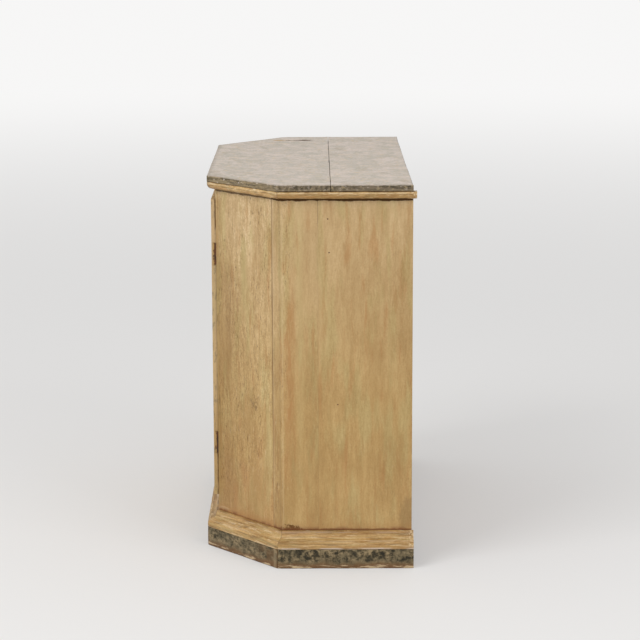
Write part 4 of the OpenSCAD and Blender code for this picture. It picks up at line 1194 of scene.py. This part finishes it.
class MakeFastenings(bpy.types.Operator):
    """Make the nails of the case and the slotted screws of the hinges, lock and bolts"""
    bl_idname = "cabinet.make_fastenings"
    bl_label = "Fastenings"

    def execute(self, context):
        wear = context.scene.cabinet_wear
        self.tree = fastening_tree()
        nail = {"Head radius": wear.nail, "Head height": 0.7 * MM, "Dents": 0.8 * MM, "Slotted": False}
        small = {**nail, "Head radius": 0.7 * wear.nail, "Head height": 0.3 * MM, "Dents": 0.3 * MM}
        screw = {"Head radius": wear.screw, "Head height": 0.22 * MM, "Dents": 0.05 * MM, "Slotted": True,
                 "Slot width": 0.7 * MM, "Slot depth": 0.16 * MM}
        large = {**screw, "Head radius": 1.25 * wear.screw, "Head height": 0.7 * MM, "Slot depth": 0.5 * MM,
                 "Slot width": 0.9 * MM}
        leaves = [screw for side in SIDES for screw in self.leaf_screws(side, "case")]
        plates = [place for plate in islands("shoot_bolt_plates") for place in self.corners(plate, 1.5 * MM)]
        low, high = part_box("lock_strike")
        strike = [((high.x, (low.y + high.y) / 2, z), (1, 0, 0)) for z in (low.z + 5 * MM, high.z - 5 * MM)]
        for name, places, body, sizes, metal in (
                ("plank_nails", self.plank_nails(wear.seed), "case", nail, (3,)),
                ("panel_nails", self.panel_nails(), "case", small, (4, 0.4)),
                ("case_screws", leaves, "case", screw, (5, 0.0, 0.5)),
                *[(f"door_{side}_screws", self.leaf_screws(side, "door"), "door_" + side, screw, (6, 0.0, 0.5))
                  for side in SIDES],
                ("lock_screws", self.corners(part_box("lock_case"), 0), "door_right", large, (7, 0.0, 0.5)),
                ("bolt_plate_screws", plates, "door_left", large, (8, 0.0, 0.5)),
                ("strike_screws", strike, "door_left", screw, (9, 0.0, 0.5))):
            self.drive(name, places, body, sizes, iron(*metal))
        return {"FINISHED"}

    def plank_nails(self, seed):
        """Two nails in each plank where it crosses the back rail, the shelf and the bottom board"""
        nails = []
        for low, high in islands("back_planks"):
            for node in ("back_rail", "shelf", "bottom_board"):
                below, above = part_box(node)
                for share in (0.16, 0.84):
                    middle = (low.x + share * (high.x - low.x), BACK, (below.z + above.z) / 2)
                    drift = [(wobble(middle, 0.03, seed + k) - 0.5) for k in (0, 9)]
                    place = (middle[0] + 14 * MM * drift[0], BACK, middle[2] + 8 * MM * drift[1])
                    nails.append((place, (0, 1, 0)))
        return nails

    def panel_nails(self):
        """The nails that hold the side boards to the rail and the cleats inside"""
        places = ((0.045, 0.838), (0.048, 0.759), (0.068, 0.395))
        return [((way * HALF_W, y + 0.004 * (way < 0), z), (way, 0, 0)) for way in SIDES.values()
                for y, z in places]

    def leaf_screws(self, side, leaf):
        """Three screws in each hinge leaf, on the face that turns to the other leaf"""
        way = SIDES[side] if leaf == "case" else -SIDES[side]
        return [(((low.x + high.x) / 2 + way * 0.25 * MM, high.y - inset, low.z + share * (high.z - low.z)),
                 (-way, 0, 0)) for low, high in islands(f"hinge_{leaf}_leaves_{side}")
                for share, inset in ((0.16, 3.6 * MM), (0.5, 7.4 * MM), (0.84, 3.6 * MM))]

    def corners(self, plate, thickness):
        """Places near the corners of a plate that lies on a door's back"""
        low, high = plate
        y = low.y + thickness if thickness else high.y
        return [((x, y, z), (0, 1, 0)) for x in (low.x + 5 * MM, high.x - 5 * MM)
                for z in (low.z + 5 * MM, high.z - 5 * MM)]

    def drive(self, name, places, body, sizes, metal):
        """Sets a head on each place, a point and the direction that it faces"""
        mesh = drawn_mesh(name + "_points", [point for point, _ in places])
        facing = mesh.attributes.new("facing", "FLOAT_VECTOR", "POINT")
        facing.data.foreach_set("vector", [value for _, direction in places for value in direction])
        holder = in_scene(name + "_points", mesh)
        modifier = holder.modifiers.new("Fastenings", "NODES")
        modifier.node_group = self.tree
        values = {**sizes, "Seed": len(name), "Material": metal}
        for socket in self.tree.interface.items_tree:
            if socket.name in values:
                modifier[socket.identifier] = values[socket.name]
        heads = frozen(holder)
        if len(heads.polygons) < len(places):
            raise RuntimeError("no heads were made for " + name)
        heads.name = name
        keep(name, heads, [metal], body)


class MakeStage(bpy.types.Operator):
    """Set the camera, the lights and the floor"""
    bl_idname = "cabinet.make_stage"
    bl_label = "Stage"

    def execute(self, context):
        stage = context.scene.cabinet_stage
        scene = context.scene
        camera = bpy.data.cameras.new("camera")
        camera.lens = camera.sensor_width * stage.pixels / IMAGE_WIDTH
        eye = in_scene("camera", camera)
        ahead = Vector((-cos(stage.pitch) * cos(stage.yaw), cos(stage.pitch) * sin(stage.yaw), -sin(stage.pitch)))
        right = ahead.cross(Vector((0, 0, 1))).normalized()
        up = right.cross(ahead)
        turn, rise = cos(stage.roll), sin(stage.roll)
        right, up = right * turn + up * rise, up * turn - right * rise
        eye.matrix_world = Matrix((right, up, -ahead)).transposed().to_4x4()
        eye.matrix_world.translation = Vector(stage.place)
        eye.location = stage.place
        scene.camera = eye
        scene.view_settings.view_transform = "Standard"
        self.floor()
        self.lights(scene, stage)
        return {"FINISHED"}

    def floor(self):
        """A wide pale floor that the camera sees fade to white away from the cabinet"""
        reach = 60.0
        corners = [(-reach, -reach, 0), (reach, -reach, 0), (reach, reach, 0), (-reach, reach, 0)]
        mesh = drawn_mesh("floor", corners, [(0, 1, 2, 3)])
        floor = in_scene("floor", mesh)
        f = Finish("pale_floor", 0.8)
        f.feed(f.shader.inputs["Base Color"], (0.80, 0.79, 0.78))
        away = f.get("ShaderNodeVectorMath", {"operation": "LENGTH"}, "Value", Vector=f.place)
        path = f.add("ShaderNodeLightPath").outputs
        camera, glossy, through = [Level(f, path[name]) for name in (
            "Is Camera Ray", "Is Glossy Ray", "Is Transmission Ray")]
        glow = f.get("ShaderNodeEmission", Color=(0.93, 0.925, 0.92), Strength=1.0)
        seen = (camera | (glossy | through)) * away.step(0.8, 13.0, 0.25, 1.0)
        blend = f.joined("ShaderNodeMixShader", None, {0: seen, 1: Level(f, f.shader.outputs[0]), 2: glow})
        f.feed(f.tree.nodes["Material Output"].inputs["Surface"], blend)
        mesh.materials.append(f.material)

    def lights(self, scene, stage):
        """Even light from all round, and two large lamps. The camera sees a pale background."""
        world = bpy.data.worlds.new("studio")
        scene.world = world
        world.use_nodes = True
        w = Wiring(world.node_tree)
        background = w.tree.nodes["Background"].inputs
        background["Color"].default_value = (1, 1, 1, 1)
        seen = w.get("ShaderNodeLightPath", output="Is Camera Ray")
        w.feed(background["Strength"], w.get("ShaderNodeMapRange", Value=seen, To_Min=stage.sky, To_Max=0.95))
        for name, place, size, power in (("key", (3.2, -3.3, 4.2), 3.0, stage.key),
                                         ("fill", (3.0, 3.0, 3.0), 2.5, stage.key * 0.35)):
            lamp = bpy.data.lights.new(name, "AREA")
            lamp.size = size
            lamp.energy = power
            holder = in_scene(name, lamp)
            holder.location = place
            holder.rotation_mode = "QUATERNION"
            holder.rotation_quaternion = (Vector((0, 0, 0.5)) - Vector(place)).to_track_quat("-Z", "Y")


class CabinetPanel(bpy.types.Panel):
    """Lists the cabinet's operators in the sidebar"""
    bl_idname = "VIEW3D_PT_cabinet"
    bl_label = "Cabinet"
    bl_space_type = "VIEW_3D"
    bl_region_type = "UI"
    bl_category = "Cabinet"

    def draw(self, context):
        for maker in OPERATORS:
            self.layout.operator(maker.bl_idname)
        for group in GROUPS:
            settings = getattr(context.scene, group)
            for name in settings.__annotations__:
                self.layout.prop(settings, name)


OPERATORS = (MakeStage, MakeTop, MakeCornice, MakeCase, MakeDoors, MakeBaseMoulding, MakePlinth,
             FinishInside, FinishMetal, MakeFastenings)
GROUPS = {"cabinet_paint": CabinetPaint, "cabinet_wear": CabinetWear, "cabinet_mouldings": CabinetMouldings,
          "cabinet_stage": CabinetStage}


def register():
    for group, settings in GROUPS.items():
        bpy.utils.register_class(settings)
        setattr(bpy.types.Scene, group, PointerProperty(type=settings))
    for maker in (*OPERATORS, CabinetPanel):
        bpy.utils.register_class(maker)


def unregister():
    for maker in (*OPERATORS, CabinetPanel):
        bpy.utils.unregister_class(maker)
    for group, settings in GROUPS.items():
        delattr(bpy.types.Scene, group)
        bpy.utils.unregister_class(settings)


def main():
    register()
    bpy.ops.cabinet.make_stage()
    bpy.ops.cabinet.make_top()
    bpy.ops.cabinet.make_cornice()
    bpy.ops.cabinet.make_case()
    bpy.ops.cabinet.make_doors()
    bpy.ops.cabinet.make_base_moulding()
    bpy.ops.cabinet.make_plinth()
    bpy.ops.cabinet.finish_inside()
    bpy.ops.cabinet.finish_metal()
    bpy.ops.cabinet.make_fastenings()


if __name__ == "__main__":
    main()
